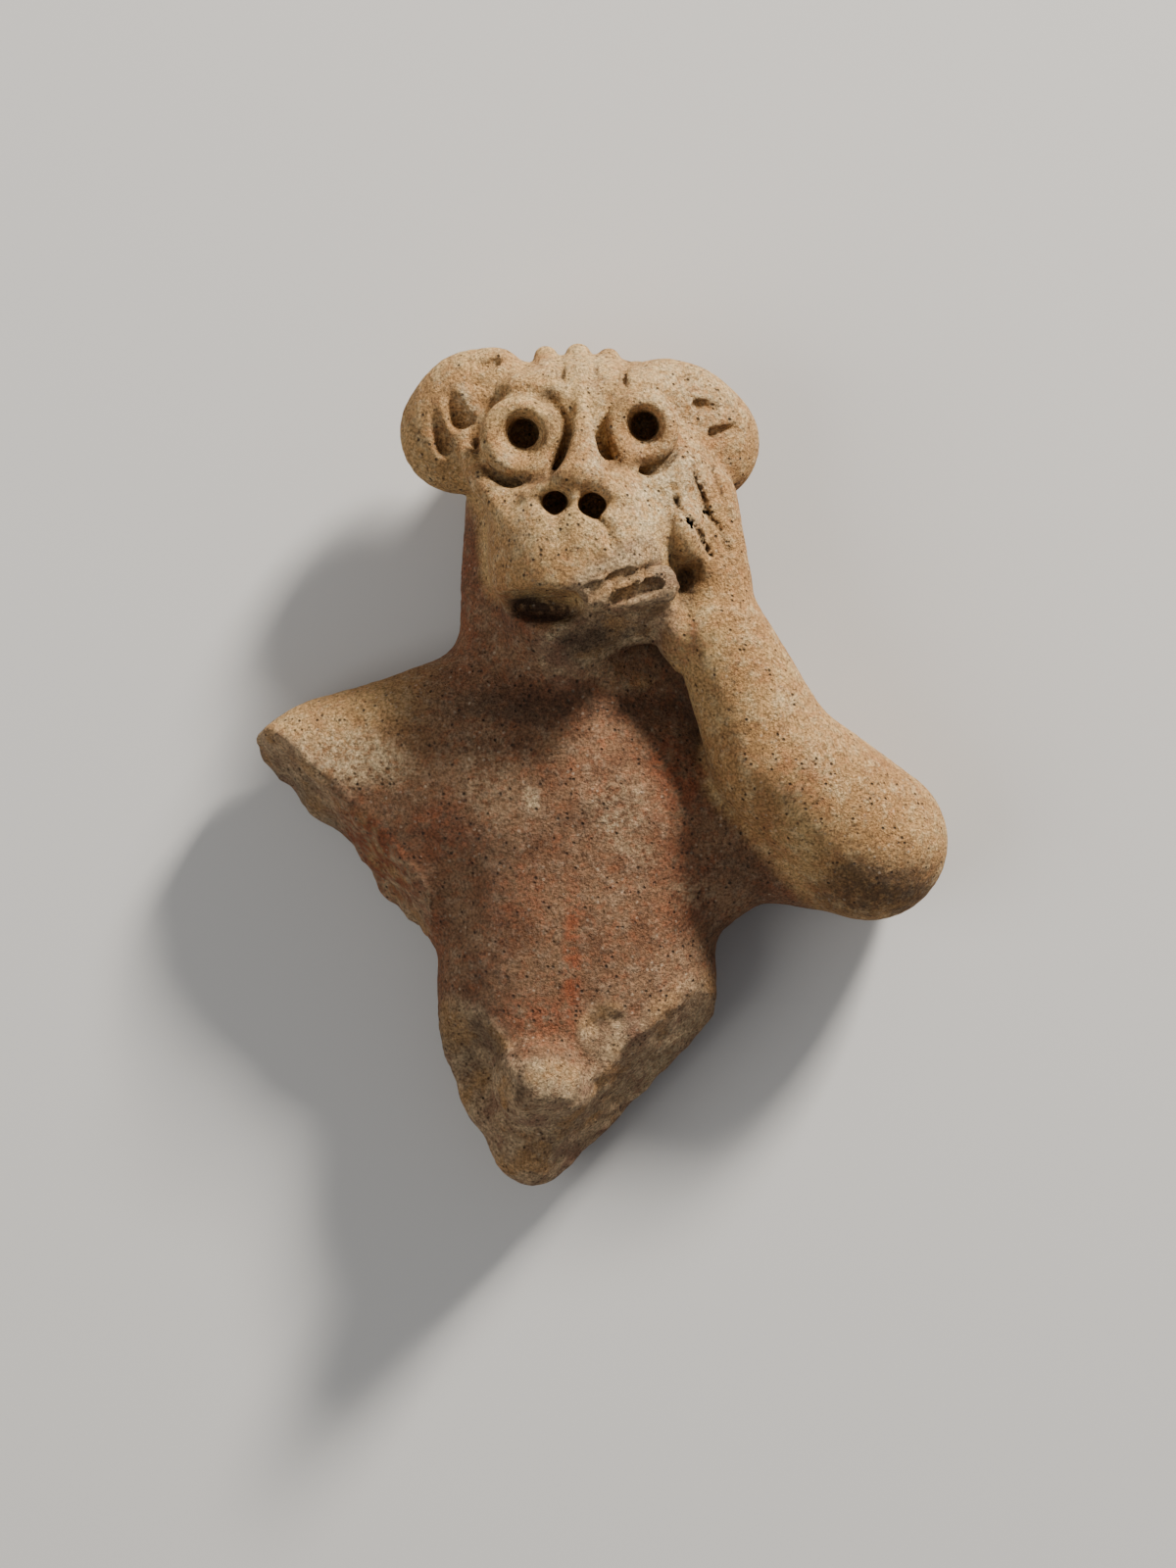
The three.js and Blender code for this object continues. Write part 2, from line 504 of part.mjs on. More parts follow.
function joinCells(value, [nx, ny, nz], low, step) {
  const points = [];
  const faces = [];
  const known = new Map();
  const index = (i, j, k) => i + nx * (j + ny * k);
  const crossing = (i, j, k, edge) => {
    const [p, q] = EDGES[edge].map((corner) => CORNERS[corner]);
    const from = index(i + p[0], j + p[1], k + p[2]);
    const to = index(i + q[0], j + q[1], k + q[2]);
    const key = from * nx * ny * nz + to;
    if (!known.has(key)) {
      const t = THREE.MathUtils.clamp(value[from] / (value[from] - value[to]), 0.02, 0.98);
      known.set(key, points.length);
      points.push([i, j, k].map((n, axis) => low[axis] + (n + p[axis] + (q[axis] - p[axis]) * t) * step));
    }
    return known.get(key);
  };
  for (let k = 0; k < nz - 1; k += 1) {
    for (let j = 0; j < ny - 1; j += 1) {
      for (let i = 0; i < nx - 1; i += 1) {
        let inside = 0;
        CORNERS.forEach(([a, b, c], corner) => {
          if (value[index(i + a, j + b, k + c)] < 0) {
            inside |= 1 << corner;
          }
        });
        if (inside === 0 || inside === 255) {
          continue;
        }
        for (let t = inside * 16; triTable[t] >= 0; t += 3) {
          faces.push([0, 2, 1].map((n) => crossing(i, j, k, triTable[t + n])));
        }
      }
    }
  }
  return { points, faces };
}

// Moves each point along the slope onto the surface, and those under it onto the flat it rests on
function settle(form, points) {
  const e = 0.02;
  return points.map((point) => {
    let [x, y, z] = point;
    for (let turn = 0; turn < 3; turn += 1) {
      const d = form(x, y, z);
      const slope = [form(x + e, y, z) - d, form(x, y + e, z) - d, form(x, y, z + e) - d].map((v) => v / e);
      const steep = Math.max(slope[0] ** 2 + slope[1] ** 2 + slope[2] ** 2, 0.3);
      const move = THREE.MathUtils.clamp(d / steep, -0.3, 0.3);
      [x, y, z] = [x - slope[0] * move, y - slope[1] * move, z - slope[2] * move];
    }
    return [x, y, z];
  });
}

// Keeps entries in order of cost, the lowest first
class Queue {
  constructor() {
    this.items = [];
  }

  push(item) {
    const list = this.items;
    let at = list.push(item) - 1;
    while (at > 0) {
      const up = (at - 1) >> 1;
      if (list[up].cost <= list[at].cost) {
        break;
      }
      [list[up], list[at]] = [list[at], list[up]];
      at = up;
    }
  }

  pop() {
    const list = this.items;
    const first = list[0];
    const last = list.pop();
    if (list.length > 0) {
      list[0] = last;
      let at = 0;
      for (;;) {
        const [l, r] = [2 * at + 1, 2 * at + 2];
        let low = at;
        if (l < list.length && list[l].cost < list[low].cost) {
          low = l;
        }
        if (r < list.length && list[r].cost < list[low].cost) {
          low = r;
        }
        if (low === at) {
          break;
        }
        [list[low], list[at]] = [list[at], list[low]];
        at = low;
      }
    }
    return first;
  }
}

const minus = (a, b) => [a[0] - b[0], a[1] - b[1], a[2] - b[2]];
const dot = (a, b) => a[0] * b[0] + a[1] * b[1] + a[2] * b[2];
const cross = (a, b) => [a[1] * b[2] - a[2] * b[1], a[2] * b[0] - a[0] * b[2], a[0] * b[1] - a[1] * b[0]];

// Merges the points whose loss changes the shape least, until the wanted number of faces is left
function thinOut({ points, faces }, wanted) {
  const around = points.map(() => new Set());
  const misfit = points.map(() => new Float64Array(10));
  const live = new Uint8Array(faces.length).fill(1);
  const turnOf = new Uint32Array(points.length);
  const normalOf = ([a, b, c]) => cross(minus(b, a), minus(c, a));
  faces.forEach((corners, f) => {
    const normal = normalOf(corners.map((c) => points[c]));
    const size = Math.hypot(...normal);
    const n = normal.map((v) => v / (size || 1));
    const d = -dot(n, points[corners[0]]);
    const terms = [n[0] * n[0], n[0] * n[1], n[0] * n[2], n[1] * n[1], n[1] * n[2], n[2] * n[2],
      n[0] * d, n[1] * d, n[2] * d, d * d];
    for (const c of corners) {
      around[c].add(f);
      terms.forEach((term, i) => {
        misfit[c][i] += term * size;
      });
    }
  });
  const costAt = (q, [x, y, z]) => q[0] * x * x + 2 * q[1] * x * y + 2 * q[2] * x * z + q[3] * y * y
    + 2 * q[4] * y * z + q[5] * z * z + 2 * (q[6] * x + q[7] * y + q[8] * z) + q[9];
  const queue = new Queue();
  const offer = (u, v) => {
    const q = misfit[u].map((term, i) => term + misfit[v][i]);
    const middle = points[u].map((value, axis) => (value + points[v][axis]) / 2);
    const pull = 0.01 * (q[0] + q[3] + q[5]) + 1e-9;
    const rows = [[q[0] + pull, q[1], q[2]], [q[1], q[3] + pull, q[4]], [q[2], q[4], q[5] + pull]];
    const goal = [pull * middle[0] - q[6], pull * middle[1] - q[7], pull * middle[2] - q[8]];
    const det = dot(rows[0], cross(rows[1], rows[2]));
    const best = [dot(goal, cross(rows[1], rows[2])), dot(goal, cross(rows[2], rows[0])),
      dot(goal, cross(rows[0], rows[1]))].map((v) => v / det);
    const apart = minus(points[u], points[v]);
    const cost = costAt(q, best) + 1e-5 * dot(apart, apart);
    queue.push({ cost, u, v, best, turn: turnOf[u] + turnOf[v] });
  };
  const neighbours = (u) => {
    const found = new Set();
    for (const f of around[u]) {
      faces[f].forEach((c) => found.add(c));
    }
    found.delete(u);
    return found;
  };
  const keepsItsSide = (u, v, best) => [...around[u], ...around[v]].every((f) => {
    if (faces[f].includes(u) && faces[f].includes(v)) {
      return true;
    }
    const before = normalOf(faces[f].map((c) => points[c]));
    const after = normalOf(faces[f].map((c) => (c === u || c === v ? best : points[c])));
    const corners = faces[f].map((c) => (c === u || c === v ? best : points[c]));
    const longest = Math.max(...corners.map((c, i) => {
      const side = minus(c, corners[(i + 1) % 3]);
      return dot(side, side);
    }));
    return dot(before, after) > 0.3 * Math.hypot(...before) * Math.hypot(...after)
      && Math.hypot(...after) > 0.05 * longest;
  });
  faces.forEach(([a, b, c]) => [[a, b], [b, c], [c, a]].forEach(([u, v]) => u < v && offer(u, v)));
  let left = faces.length;
  while (left > wanted && queue.items.length > 0) {
    const { u, v, best, turn } = queue.pop();
    if (turn !== turnOf[u] + turnOf[v] || around[u].size === 0 || around[v].size === 0) {
      continue;
    }
    const besideV = neighbours(v);
    const shared = [...neighbours(u)].filter((c) => besideV.has(c));
    if (!besideV.has(u) || shared.length !== 2 || !keepsItsSide(u, v, best)) {
      continue;
    }
    for (const f of [...around[v]]) {
      if (faces[f].includes(u)) {
        live[f] = 0;
        left -= 1;
        faces[f].forEach((c) => around[c].delete(f));
      } else {
        faces[f] = faces[f].map((c) => (c === v ? u : c));
        around[u].add(f);
      }
    }
    around[v].clear();
    points[u] = best;
    misfit[v].forEach((term, i) => {
      misfit[u][i] += term;
    });
    turnOf[u] += 1;
    turnOf[v] += 1;
    neighbours(u).forEach((c) => offer(u, c));
  }
  return { points, faces: faces.filter((_, f) => live[f]) };
}

function makeGeometry() {
  const form = makeFigure();
  const { low, high } = reach();
  const sampled = sampleSurface(form, low, high, SAMPLE_STEP);
  const settled = settle(form, sampled.points);
  const { points, faces } = thinOut({ points: settled, faces: sampled.faces }, FACE_COUNT);
  const flat = 0.03;
  const placed = points.map(([x, y, z]) => [x, y, z < flat ? 0 : z]);
  const geometry = new THREE.BufferGeometry();
  geometry.setAttribute('position', new THREE.Float32BufferAttribute(placed.flat(), 3));
  geometry.setIndex(faces.flat());
  geometry.computeVertexNormals();
  return geometry;
}

const figurine = new THREE.Mesh(makeGeometry(), CLAY);
figurine.name = 'figurine';

const group = new THREE.Group();
group.add(figurine);
export default group;
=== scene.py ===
"""Looks of a hand-modelled clay figurine fragment: fine surface, fired clay, soil and painted shade, studio
and camera.
"""

import bpy
import numpy as np
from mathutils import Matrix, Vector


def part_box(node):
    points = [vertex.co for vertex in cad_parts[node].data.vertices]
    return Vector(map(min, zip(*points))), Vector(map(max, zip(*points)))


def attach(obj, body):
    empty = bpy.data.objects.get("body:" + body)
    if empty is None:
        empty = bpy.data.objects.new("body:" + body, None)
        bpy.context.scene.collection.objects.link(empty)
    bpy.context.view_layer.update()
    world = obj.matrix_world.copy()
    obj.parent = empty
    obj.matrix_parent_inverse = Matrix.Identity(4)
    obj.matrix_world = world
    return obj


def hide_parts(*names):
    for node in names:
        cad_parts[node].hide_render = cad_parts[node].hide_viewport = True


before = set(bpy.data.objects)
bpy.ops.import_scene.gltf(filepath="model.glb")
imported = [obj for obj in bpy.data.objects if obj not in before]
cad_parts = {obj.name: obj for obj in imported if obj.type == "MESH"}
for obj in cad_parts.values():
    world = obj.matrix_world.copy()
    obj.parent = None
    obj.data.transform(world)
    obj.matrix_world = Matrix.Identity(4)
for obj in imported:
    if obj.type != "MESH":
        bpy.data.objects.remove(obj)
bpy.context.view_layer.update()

# Metres to a millimetre, which all sizes of the clay are in
MM = 0.001

# The fine surface's grid, its room round the solid's box, how far off a point's slope is felt, and how
# many points are read together
GRID = 0.39
ROOM_BELOW = 2.03
ROOM_ABOVE = 2.0
SLOPE_REACH = 0.06
POINTS_AT_ONCE = 60000

# The camera looks straight down from far off: its place, the height of the frame in its plane, all in
# metres, and the sensor in millimetres
CAMERA_HEIGHT = 1.010
CAMERA_X = 0.001
VIEW_HEIGHT = 0.160
VIEW_PLANE = 0.010
SENSOR = 36.0

# Colours as linear red, green and blue: worked clay of the head and arms, worked clay of the body darkened
# in part as painted shade, raw clay of the breaks, what lies on the clay with soil that is in part painted
# shade, specks in it, and the surroundings
BUFF = (0.44, 0.238, 0.092)
YELLOW_BUFF = (0.59, 0.37, 0.155)
RUST = (0.36, 0.15, 0.055)
PALE_BUFF = (0.66, 0.48, 0.25)
RUST_SPOT = (0.42, 0.19, 0.075)
BROWN_SPOT = (0.22, 0.14, 0.075)
# The body's darker clay: its own red-brown, darkened in part as painted shade of the light grazing the
# chest
DARK_BODY_CLAY_AND_SHADE = (0.185, 0.086, 0.042)
BODY_CLAY_AND_SHADE = (0.27, 0.148, 0.076)
PALE_EARTH = (0.37, 0.25, 0.15)
RED_SPOT = (0.33, 0.115, 0.048)
DARK_SPOT = (0.14, 0.088, 0.055)
RAW = (0.33, 0.198, 0.108)
PALE_RAW = (0.68, 0.47, 0.26)
OCHRE_RAW = (0.56, 0.29, 0.10)
RED_RAW = (0.34, 0.16, 0.10)
SLIP = (0.30, 0.082, 0.032)
CRUST = (0.78, 0.59, 0.34)
GREY = (0.17, 0.128, 0.080)
# Soil colour, which also serves as painted shade in the hollows and in the shadowed patches
SOIL_AND_SHADE = (0.075, 0.040, 0.022)
FLECK = (0.07, 0.045, 0.03)
SAND = (0.66, 0.54, 0.38)
PIT = (0.05, 0.032, 0.02)
FLOOR = (0.62, 0.60, 0.57)
SKY = (0.9, 0.93, 1.0)

# Place in metres, width in metres, power in watts and tint of each light, and the strength of the sky's
KEY_LIGHT = ((0.47, 0.70, 0.385), 0.15, 20.5, (1.0, 0.96, 0.90))
FILL_LIGHT = ((-0.60, -0.14, 0.66), 0.60, 3.0, (0.98, 0.98, 0.96))
SKY_STRENGTH = 0.235

# How deep the material's bump goes, in metres
BUMP_DEPTH = 0.0009

# Torso
BODY_Z = 8.0
CHEST_WIDTH = 28.0
WAIST_WIDTH = 25.5
HIP_WIDTH = 26.2
TORSO_FLATNESS = 0.6
CHEST_Y = -1.2
WAIST_Y = CHEST_Y - 13.8
HIP_Y = WAIST_Y - 8.1
TIP_Y = HIP_Y - 13.1
TIP_WIDTH = 8.4

# Arms: the right one is a stump, the left one is bent up to the cheek
SHOULDER_WIDTH = 28.2
STUMP_REACH = 25.8
STUMP_END_WIDTH = 15.0
UPPER_ARM_WIDTH = 16.0
ELBOW_WIDTH = 16.0
FOREARM_WIDTH = 13.2
WRIST_WIDTH = 9.6
HAND_WIDTH = 7.0

# Neck and head
NECK_WIDTH = 23.0
NECK_BASE_WIDTH = 24.8
NECK_FLATNESS = 0.66
HEAD_Y = CHEST_Y + 35.3
HEAD_WIDTH = 24.4
HEAD_HEIGHT = 15.8
HEAD_DEPTH = 18.4
HEAD_Z = 11.5
FACE_Z = HEAD_Z + HEAD_DEPTH / 2
BROW_THICKNESS = 5.4
EAR_WIDTH = 12.8
EAR_THICKNESS = 9.6
CREST_WIDTH = 2.5
MUZZLE_WIDTH = 19.5
MUZZLE_DEPTH = 22.6
MUZZLE_LENGTH = 11.3
MUZZLE_SLOPE = 7.8 / 11.3

# Marks of the fingers and tools
EYE_HOLE_WIDTH = 4.1
EYE_HOLE_DEPTH = 7.2
RING_THICKNESS = 2.6
RING_WIDTH = 6.1
NOSTRIL_WIDTH = 2.5
NOSTRIL_DEPTH = 9.0
GOUGE_WIDTH = 1.3
STROKE_WIDTH = 1.0
STROKE_DEPTH = 0.62
BREAK_ROUGHNESS = 0.35

# Middle and size of each eye on the face, and how deep the clay is worn round it
EYES = ((-5.8, 0.9, 1.0, 0.48), (6.4, 1.7, 0.9, 0.3))

# Where the left arm bends and ends
ELBOW = (29.7, CHEST_Y - 4.7, 10.6)
HAND = (12.8, HEAD_Y - 5.3, 16.6)
WRIST = (14.3, HEAD_Y - 18.7, 17.6)
FOREARM = (20.1, (ELBOW[1] + WRIST[1]) / 2 - 2.2, 16.0)


def blend(a, b, k):
    """Smaller of two distances, with a fillet about k wide."""
    h = np.clip(0.5 + 0.5 * (b - a) / k, 0, 1)
    return b + (a - b) * h - k * h * (1 - h)


def join(k, body, *more):
    """Several forms of clay pressed into one."""
    for form in more:
        body = blend(body, form, k)
    return body


def carve(k, body, *tools):
    """The body less the tools' shapes, with edges about k wide."""
    for tool in tools:
        body = -blend(-body, tool, k)
    return body


def roll(p, a, b, start, end, deep=1.0, square=2.0):
    """Roll of clay from a to b, deep times as thick in Z; a square above 2 flattens its sides."""
    d = np.array([b[0] - a[0], b[1] - a[1], (b[2] - a[2]) / deep])
    q = (p - np.array(a)) / np.array([1, 1, deep])
    length = np.linalg.norm(d)
    slope = np.clip((end - start) / length, -0.95, 0.95)
    t = q @ d / length**2

    def across(h):
        away = np.abs(q - h[:, None] * d)
        if square == 2.0:
            return np.sqrt((away**2).sum(1))
        return (away**square).sum(1) ** (1 / square)

    h = np.clip(t + across(t) * slope / (length * np.sqrt(1 - slope**2)), 0, 1)
    return (across(h) - start - (end - start) * h) * min(1.0, deep)


def ball(p, centre, half, turn=0.0):
    """Egg of clay with half sizes along its axes, turned about Z by degrees."""
    q = p - np.array(centre)
    c, s = np.cos(np.radians(turn)), np.sin(np.radians(turn))
    u = np.stack([q[:, 0] * c + q[:, 1] * s, q[:, 1] * c - q[:, 0] * s, q[:, 2]], 1) / np.array(half)
    out = np.sqrt((u**2).sum(1))
    return out * (out - 1) / (np.sqrt(((u / np.array(half)) ** 2).sum(1)) + 1e-9)


def face(p, point, normal):
    """Distance beyond a flat face."""
    n = np.array(normal, float)
    return (p - np.array(point)) @ (n / np.linalg.norm(n))


def ring(p, centre, radius, thickness):
    """Ring of clay that lies flat, with its radius to the middle of its thickness."""
    q = p - np.array(centre)
    out = np.hypot(q[:, 0], q[:, 1]) - radius
    return np.hypot(out, q[:, 2]) - thickness / 2


def lumps(p, size, seed):
    """Uneven lumps from -1 to 1, about size across."""
    q = p / size + seed * 17.3
    cell = np.floor(q)
    f = q - cell
    f = f * f * (3 - 2 * f)
    total = 0.0
    for corner in range(8):
        step = np.array([corner & 1, corner >> 1 & 1, corner >> 2])
        n = np.sin((cell + step) @ np.array([127.1, 311.7, 74.7])) * 43758.5453
        share = np.where(step == 1, f, 1 - f).prod(1)
        total = total + share * (n - np.floor(n))
    return 2 * total - 1


def side_break(p):
    return face(p, (14.3, HIP_Y - 0.5, 5.5), (0.67, -0.65, 0.42))


def arm_break(p):
    return face(p, (-24.3, CHEST_Y - 3.7, 6.5), (-0.735, -0.668, 0.3))


def jaw_break(p):
    return face(p, on_head(1.6, -18.8, 8.6), (0.14, -0.62, 0.77))


def torso(p, rough):
    chest, waist = (0.0, CHEST_Y, BODY_Z), (-0.3, WAIST_Y, BODY_Z)
    hip, tip = (-0.2, HIP_Y + 0.8, BODY_Z - 0.3), (-4.15, TIP_Y, BODY_Z - 0.6)
    flat = TORSO_FLATNESS
    d = join(2, roll(p, chest, waist, CHEST_WIDTH / 2, WAIST_WIDTH / 2, flat, 2.3),
             roll(p, waist, hip, WAIST_WIDTH / 2, HIP_WIDTH / 2, flat, 2.3))
    d = join(3, d, ball(p, (0.2, CHEST_Y - 3.5, BODY_Z + 3.4), (12.5, 12, 6.9)),
             ball(p, (0.2, WAIST_Y - 0.5, BODY_Z + 3.1), (11.2, 12.5, 6.3)))
    keel = roll(p, (-2.8, HIP_Y - 3.9, BODY_Z + 2), tip, 6.4, TIP_WIDTH / 2)
    wedge = roll(p, hip, tip, HIP_WIDTH / 2, TIP_WIDTH / 2, flat, 2.1)
    flank = ball(p, (-8.2, HIP_Y - 8.2, BODY_Z - 0.6), (3.8, 4.2, 4.6))
    d = join(1, join(2.5, d, join(2.5, wedge, keel)), flank)
    under_side = face(p, (14.3, HIP_Y - 0.5, 5.5), (0.715, -0.68, -0.15))
    d = carve(0.35, d, -(side_break(p) + 0.7 * rough), -(under_side + 0.7 * rough))
    scoop = ball(p, (-13.8, HIP_Y - 7.6, BODY_Z + 8.4), (7.4, 9.4, 7.5), 24)
    d = carve(0.35, d, scoop + 0.6 * rough)
    lump = ball(p, (-3.6, HIP_Y - 6.9, BODY_Z + 5.6), (5.1, 4.8, 6.3))
    front = face(p, (-2.6, HIP_Y - 6.2, BODY_Z + 11.1), (0.34, 0.40, 0.85))
    below = face(p, (-1.2, HIP_Y - 10.3, BODY_Z + 8.4), (0.14, -0.86, 0.49))
    left = face(p, (-8.1, HIP_Y - 5, BODY_Z + 8), (-0.92, -0.16, 0.36))
    d = join(0.9, d, carve(0.4, lump, -(front + 1.8 * rough), -(below + rough), -(left + rough)))
    scar = ball(p, (2.9, HIP_Y - 1.9, BODY_Z + 13.15), (5.2, 6, 4.9), 25)
    return carve(0.3, d, scar + 1.3 * rough)


def stump(p, rough):
    root = (-4.2, CHEST_Y + 2.4, BODY_Z)
    end = (root[0] - STUMP_REACH, CHEST_Y + 0.9, BODY_Z - 0.4)
    d = join(3, roll(p, root, end, SHOULDER_WIDTH / 2, STUMP_END_WIDTH / 2, 0.7),
             ball(p, (-17.3, CHEST_Y - 9.2, BODY_Z), (5.2, 7.2, 5.5), -40))
    d = carve(1.0, d, -(arm_break(p) + rough))
    d = carve(1, d, -face(p, (end[0] - 1.7, CHEST_Y + 7.2, BODY_Z), (-0.66, 0.75, 0)))
    return carve(1, d, ball(p, (end[0] + 3.1, CHEST_Y - 7.1, 6), (4.2, 4.2, 9)) + rough)


def upper_arm(p):
    return join(3, roll(p, (8.2, CHEST_Y - 0.8, BODY_Z - 0.8), (29.3, CHEST_Y - 5.3, BODY_Z - 0.6),
                        UPPER_ARM_WIDTH / 2, 7.2),
                ball(p, (13.7, CHEST_Y - 8.0, BODY_Z - 0.5), (3.8, 2.8, 5), -40))


def forearm(p):
    return join(0.8, roll(p, ELBOW, FOREARM, ELBOW_WIDTH / 2, FOREARM_WIDTH / 2, 0.95),
                roll(p, FOREARM, WRIST, FOREARM_WIDTH / 2, WRIST_WIDTH / 2, 0.95))


def hand(p):
    x, y, z = HAND
    thumb = join(0.4, roll(p, (x + 1.3, y - 8.2, z + 2.2), (x - 0.8, y - 5.1, z + 4), 1.5, 1),
                 roll(p, (x - 0.8, y - 5.1, z + 4), (x - 2.4, y - 2.4, z + 4), 1, 0.7))
    web = ball(p, (x - 2, y - 3.4, z + 3.2), (2.1, 3.5, 4.9))
    palm = roll(p, (x + 1.2, y - 8.9, z + 0.6), HAND, HAND_WIDTH / 2 + 0.2, 3.4, 0.95)
    return join(0.8, palm, thumb, web)


def on_head(x, y, z):
    return x, HEAD_Y + y, HEAD_Z + z


def on_face(x, y, proud):
    return x, HEAD_Y + y, FACE_Z + proud


def on_muzzle(x, y, proud):
    front = HEAD_Z - 2.9 + MUZZLE_DEPTH / 2 - MUZZLE_SLOPE * max(y, -MUZZLE_LENGTH)
    return x, HEAD_Y + y, front + proud


def add_ears(p, d):
    wide, thick = EAR_WIDTH / 2, EAR_THICKNESS / 2
    left = join(1, ball(p, on_head(-11.8, 1.8, 0), (wide, wide, thick)),
                ball(p, on_head(-10.2, 4.2, 0.5), (wide, wide - 0.4, thick)),
                ball(p, on_head(-8.3, 7.5, 0.9), (2.6, 2.7, thick * 0.75)))
    right = join(1.3, ball(p, on_head(12.4, 0.6, 0.5), (wide - 0.4, wide - 0.2, thick)),
                 ball(p, on_head(9.9, 2.8, 1), (wide - 0.2, wide - 0.3, thick)),
                 ball(p, on_head(8.5, 7.0, 0.9), (2.2, 2.1, thick * 0.75)))
    return join(2, join(1.3, d, left), right)


def cut_chin(p, d):
    """The muzzle ends in a slanting underside, cut away more on its left."""
    d = carve(1.4, d, -face(p, on_head(1, -15.6, 8.5), (0, -1, -0.16)))
    return carve(2.4, d, -face(p, on_head(-9.3, -15.7, 8.5), (-0.72, -0.68, -0.1)))


def add_mouth(p, d, rough):
    """The gape under the upper lip, the broken jaw and the torn lip."""
    jaw = roll(p, on_head(-1.8, -17.5, 5.0), on_head(6.5, -16.2, 5.8), 3.5, 3.8, 1.5)
    jaw = carve(0.4, jaw, -(jaw_break(p) + 1.2 * rough))
    d = join(1.2, d, jaw)
    gape = join(0.8, ball(p, on_muzzle(-3.9, -16.4, -3.4), (4.8, 1.85, 7), 2),
                roll(p, on_muzzle(-6.9, -15.9, -3.2), on_muzzle(-0.6, -15.4, -3.4), 1.1, 0.8, 3))
    d = carve(0.8, d, gape + 0.5 * rough)
    slab = roll(p, on_muzzle(2.5, -15.5, -1.3), on_muzzle(8, -14.1, -1.3), 1.9, 1.9, 0.6)
    shelf = roll(p, on_muzzle(0.9, -13.7, -1.2), on_muzzle(5.8, -11.9, -1.2), 0.9, 0.8)
    d = join(0.5, d, slab + rough, shelf + 0.8 * rough)
    dish = roll(p, on_muzzle(3.3, -15.7, -0.2), on_muzzle(7.6, -13.9, -0.3), 0.75, 0.7, 0.8)
    tear = roll(p, on_muzzle(0.5, -14.5, -0.4), on_muzzle(5, -12.5, -0.4), 0.3, 0.45)
    return carve(0.3, d, dish + 0.8 * rough, tear + 0.4 * rough)


def nose(p):
    bridge = roll(p, on_face(0.1, 7.8, -3.1), on_face(0.6, 2, 2.2), 0.7, 0.75)
    crown = on_face(0.6, 2, 2.2)
    left_side = roll(p, crown, on_muzzle(-1.4, -3.0, 3.9), 0.8, 1.0)
    right_side = roll(p, crown, on_muzzle(1.7, -3.2, 4.1), 0.8, 1.0)
    left_wing = roll(p, on_muzzle(-1.2, -3.1, 3.7), on_muzzle(-4.8, -5.0, 0.9), 1.1, 0.7)
    right_wing = roll(p, on_muzzle(1.6, -3.3, 4.0), on_muzzle(4.8, -5.7, 1.3), 1.0, 0.7)
    septum = roll(p, on_muzzle(-0.4, -4.2, 3.3), on_muzzle(0.1, -9.8, 0.4), 0.8, 0.6)
    ridge = roll(p, on_muzzle(1.4, -7.2, 0.4), on_muzzle(2.6, -10.6, 0.2), 0.45, 0.4)
    middle = roll(p, crown, on_muzzle(0.2, -3.0, 3.9), 0.9, 1.8)
    pyramid = join(0.9, bridge, middle, left_side, right_side, left_wing, right_wing)
    return join(0.5, pyramid, septum, ridge)


def add_eye(p, d, x, y, size):
    """Ring of clay round a deep poked hole, with a pressed line under the ring."""
    middle = on_face(x, y, 0.4)
    radius, thick = RING_WIDTH / 2 * size, RING_THICKNESS * size
    pressed = ring(p, (x * 0.9, middle[1] - 0.6, middle[2] + 0.2), radius + thick / 2, 0.8)
    lid = join(0.5, ring(p, middle, radius, thick), ball(p, middle, (radius, radius, 1.1)))
    hole = roll(p, on_face(x + 0.3, y + 0.4, 3.3), on_face(x + 0.4, y + 0.5, 3.3 - EYE_HOLE_DEPTH),
                EYE_HOLE_WIDTH * 0.42, EYE_HOLE_WIDTH * 0.34)
    funnel = ball(p, on_face(x + 0.2, y + 0.1, 1.9), (2.2 * size, 2.5 * size, 1.9))
    return carve(0.6, join(0.35, carve(0.6, d, pressed), lid), join(0.9, hole, funnel))


# Knobs of the crest: where each stands on the head, and its size
CREST = ((-3.3, 9.3, 1.0), (0.0, 9.5, 1.05), (3.1, 9.1, 1.0), (6.0, 8.0, 0.8))


def crest(p):
    return join(0.4, *(roll(p, on_head(x, y, -0.5), on_head(x * 0.9, y - 4, 7.6), CREST_WIDTH / 2 * size,
                            CREST_WIDTH * 0.3 * size) for x, y, size in CREST))


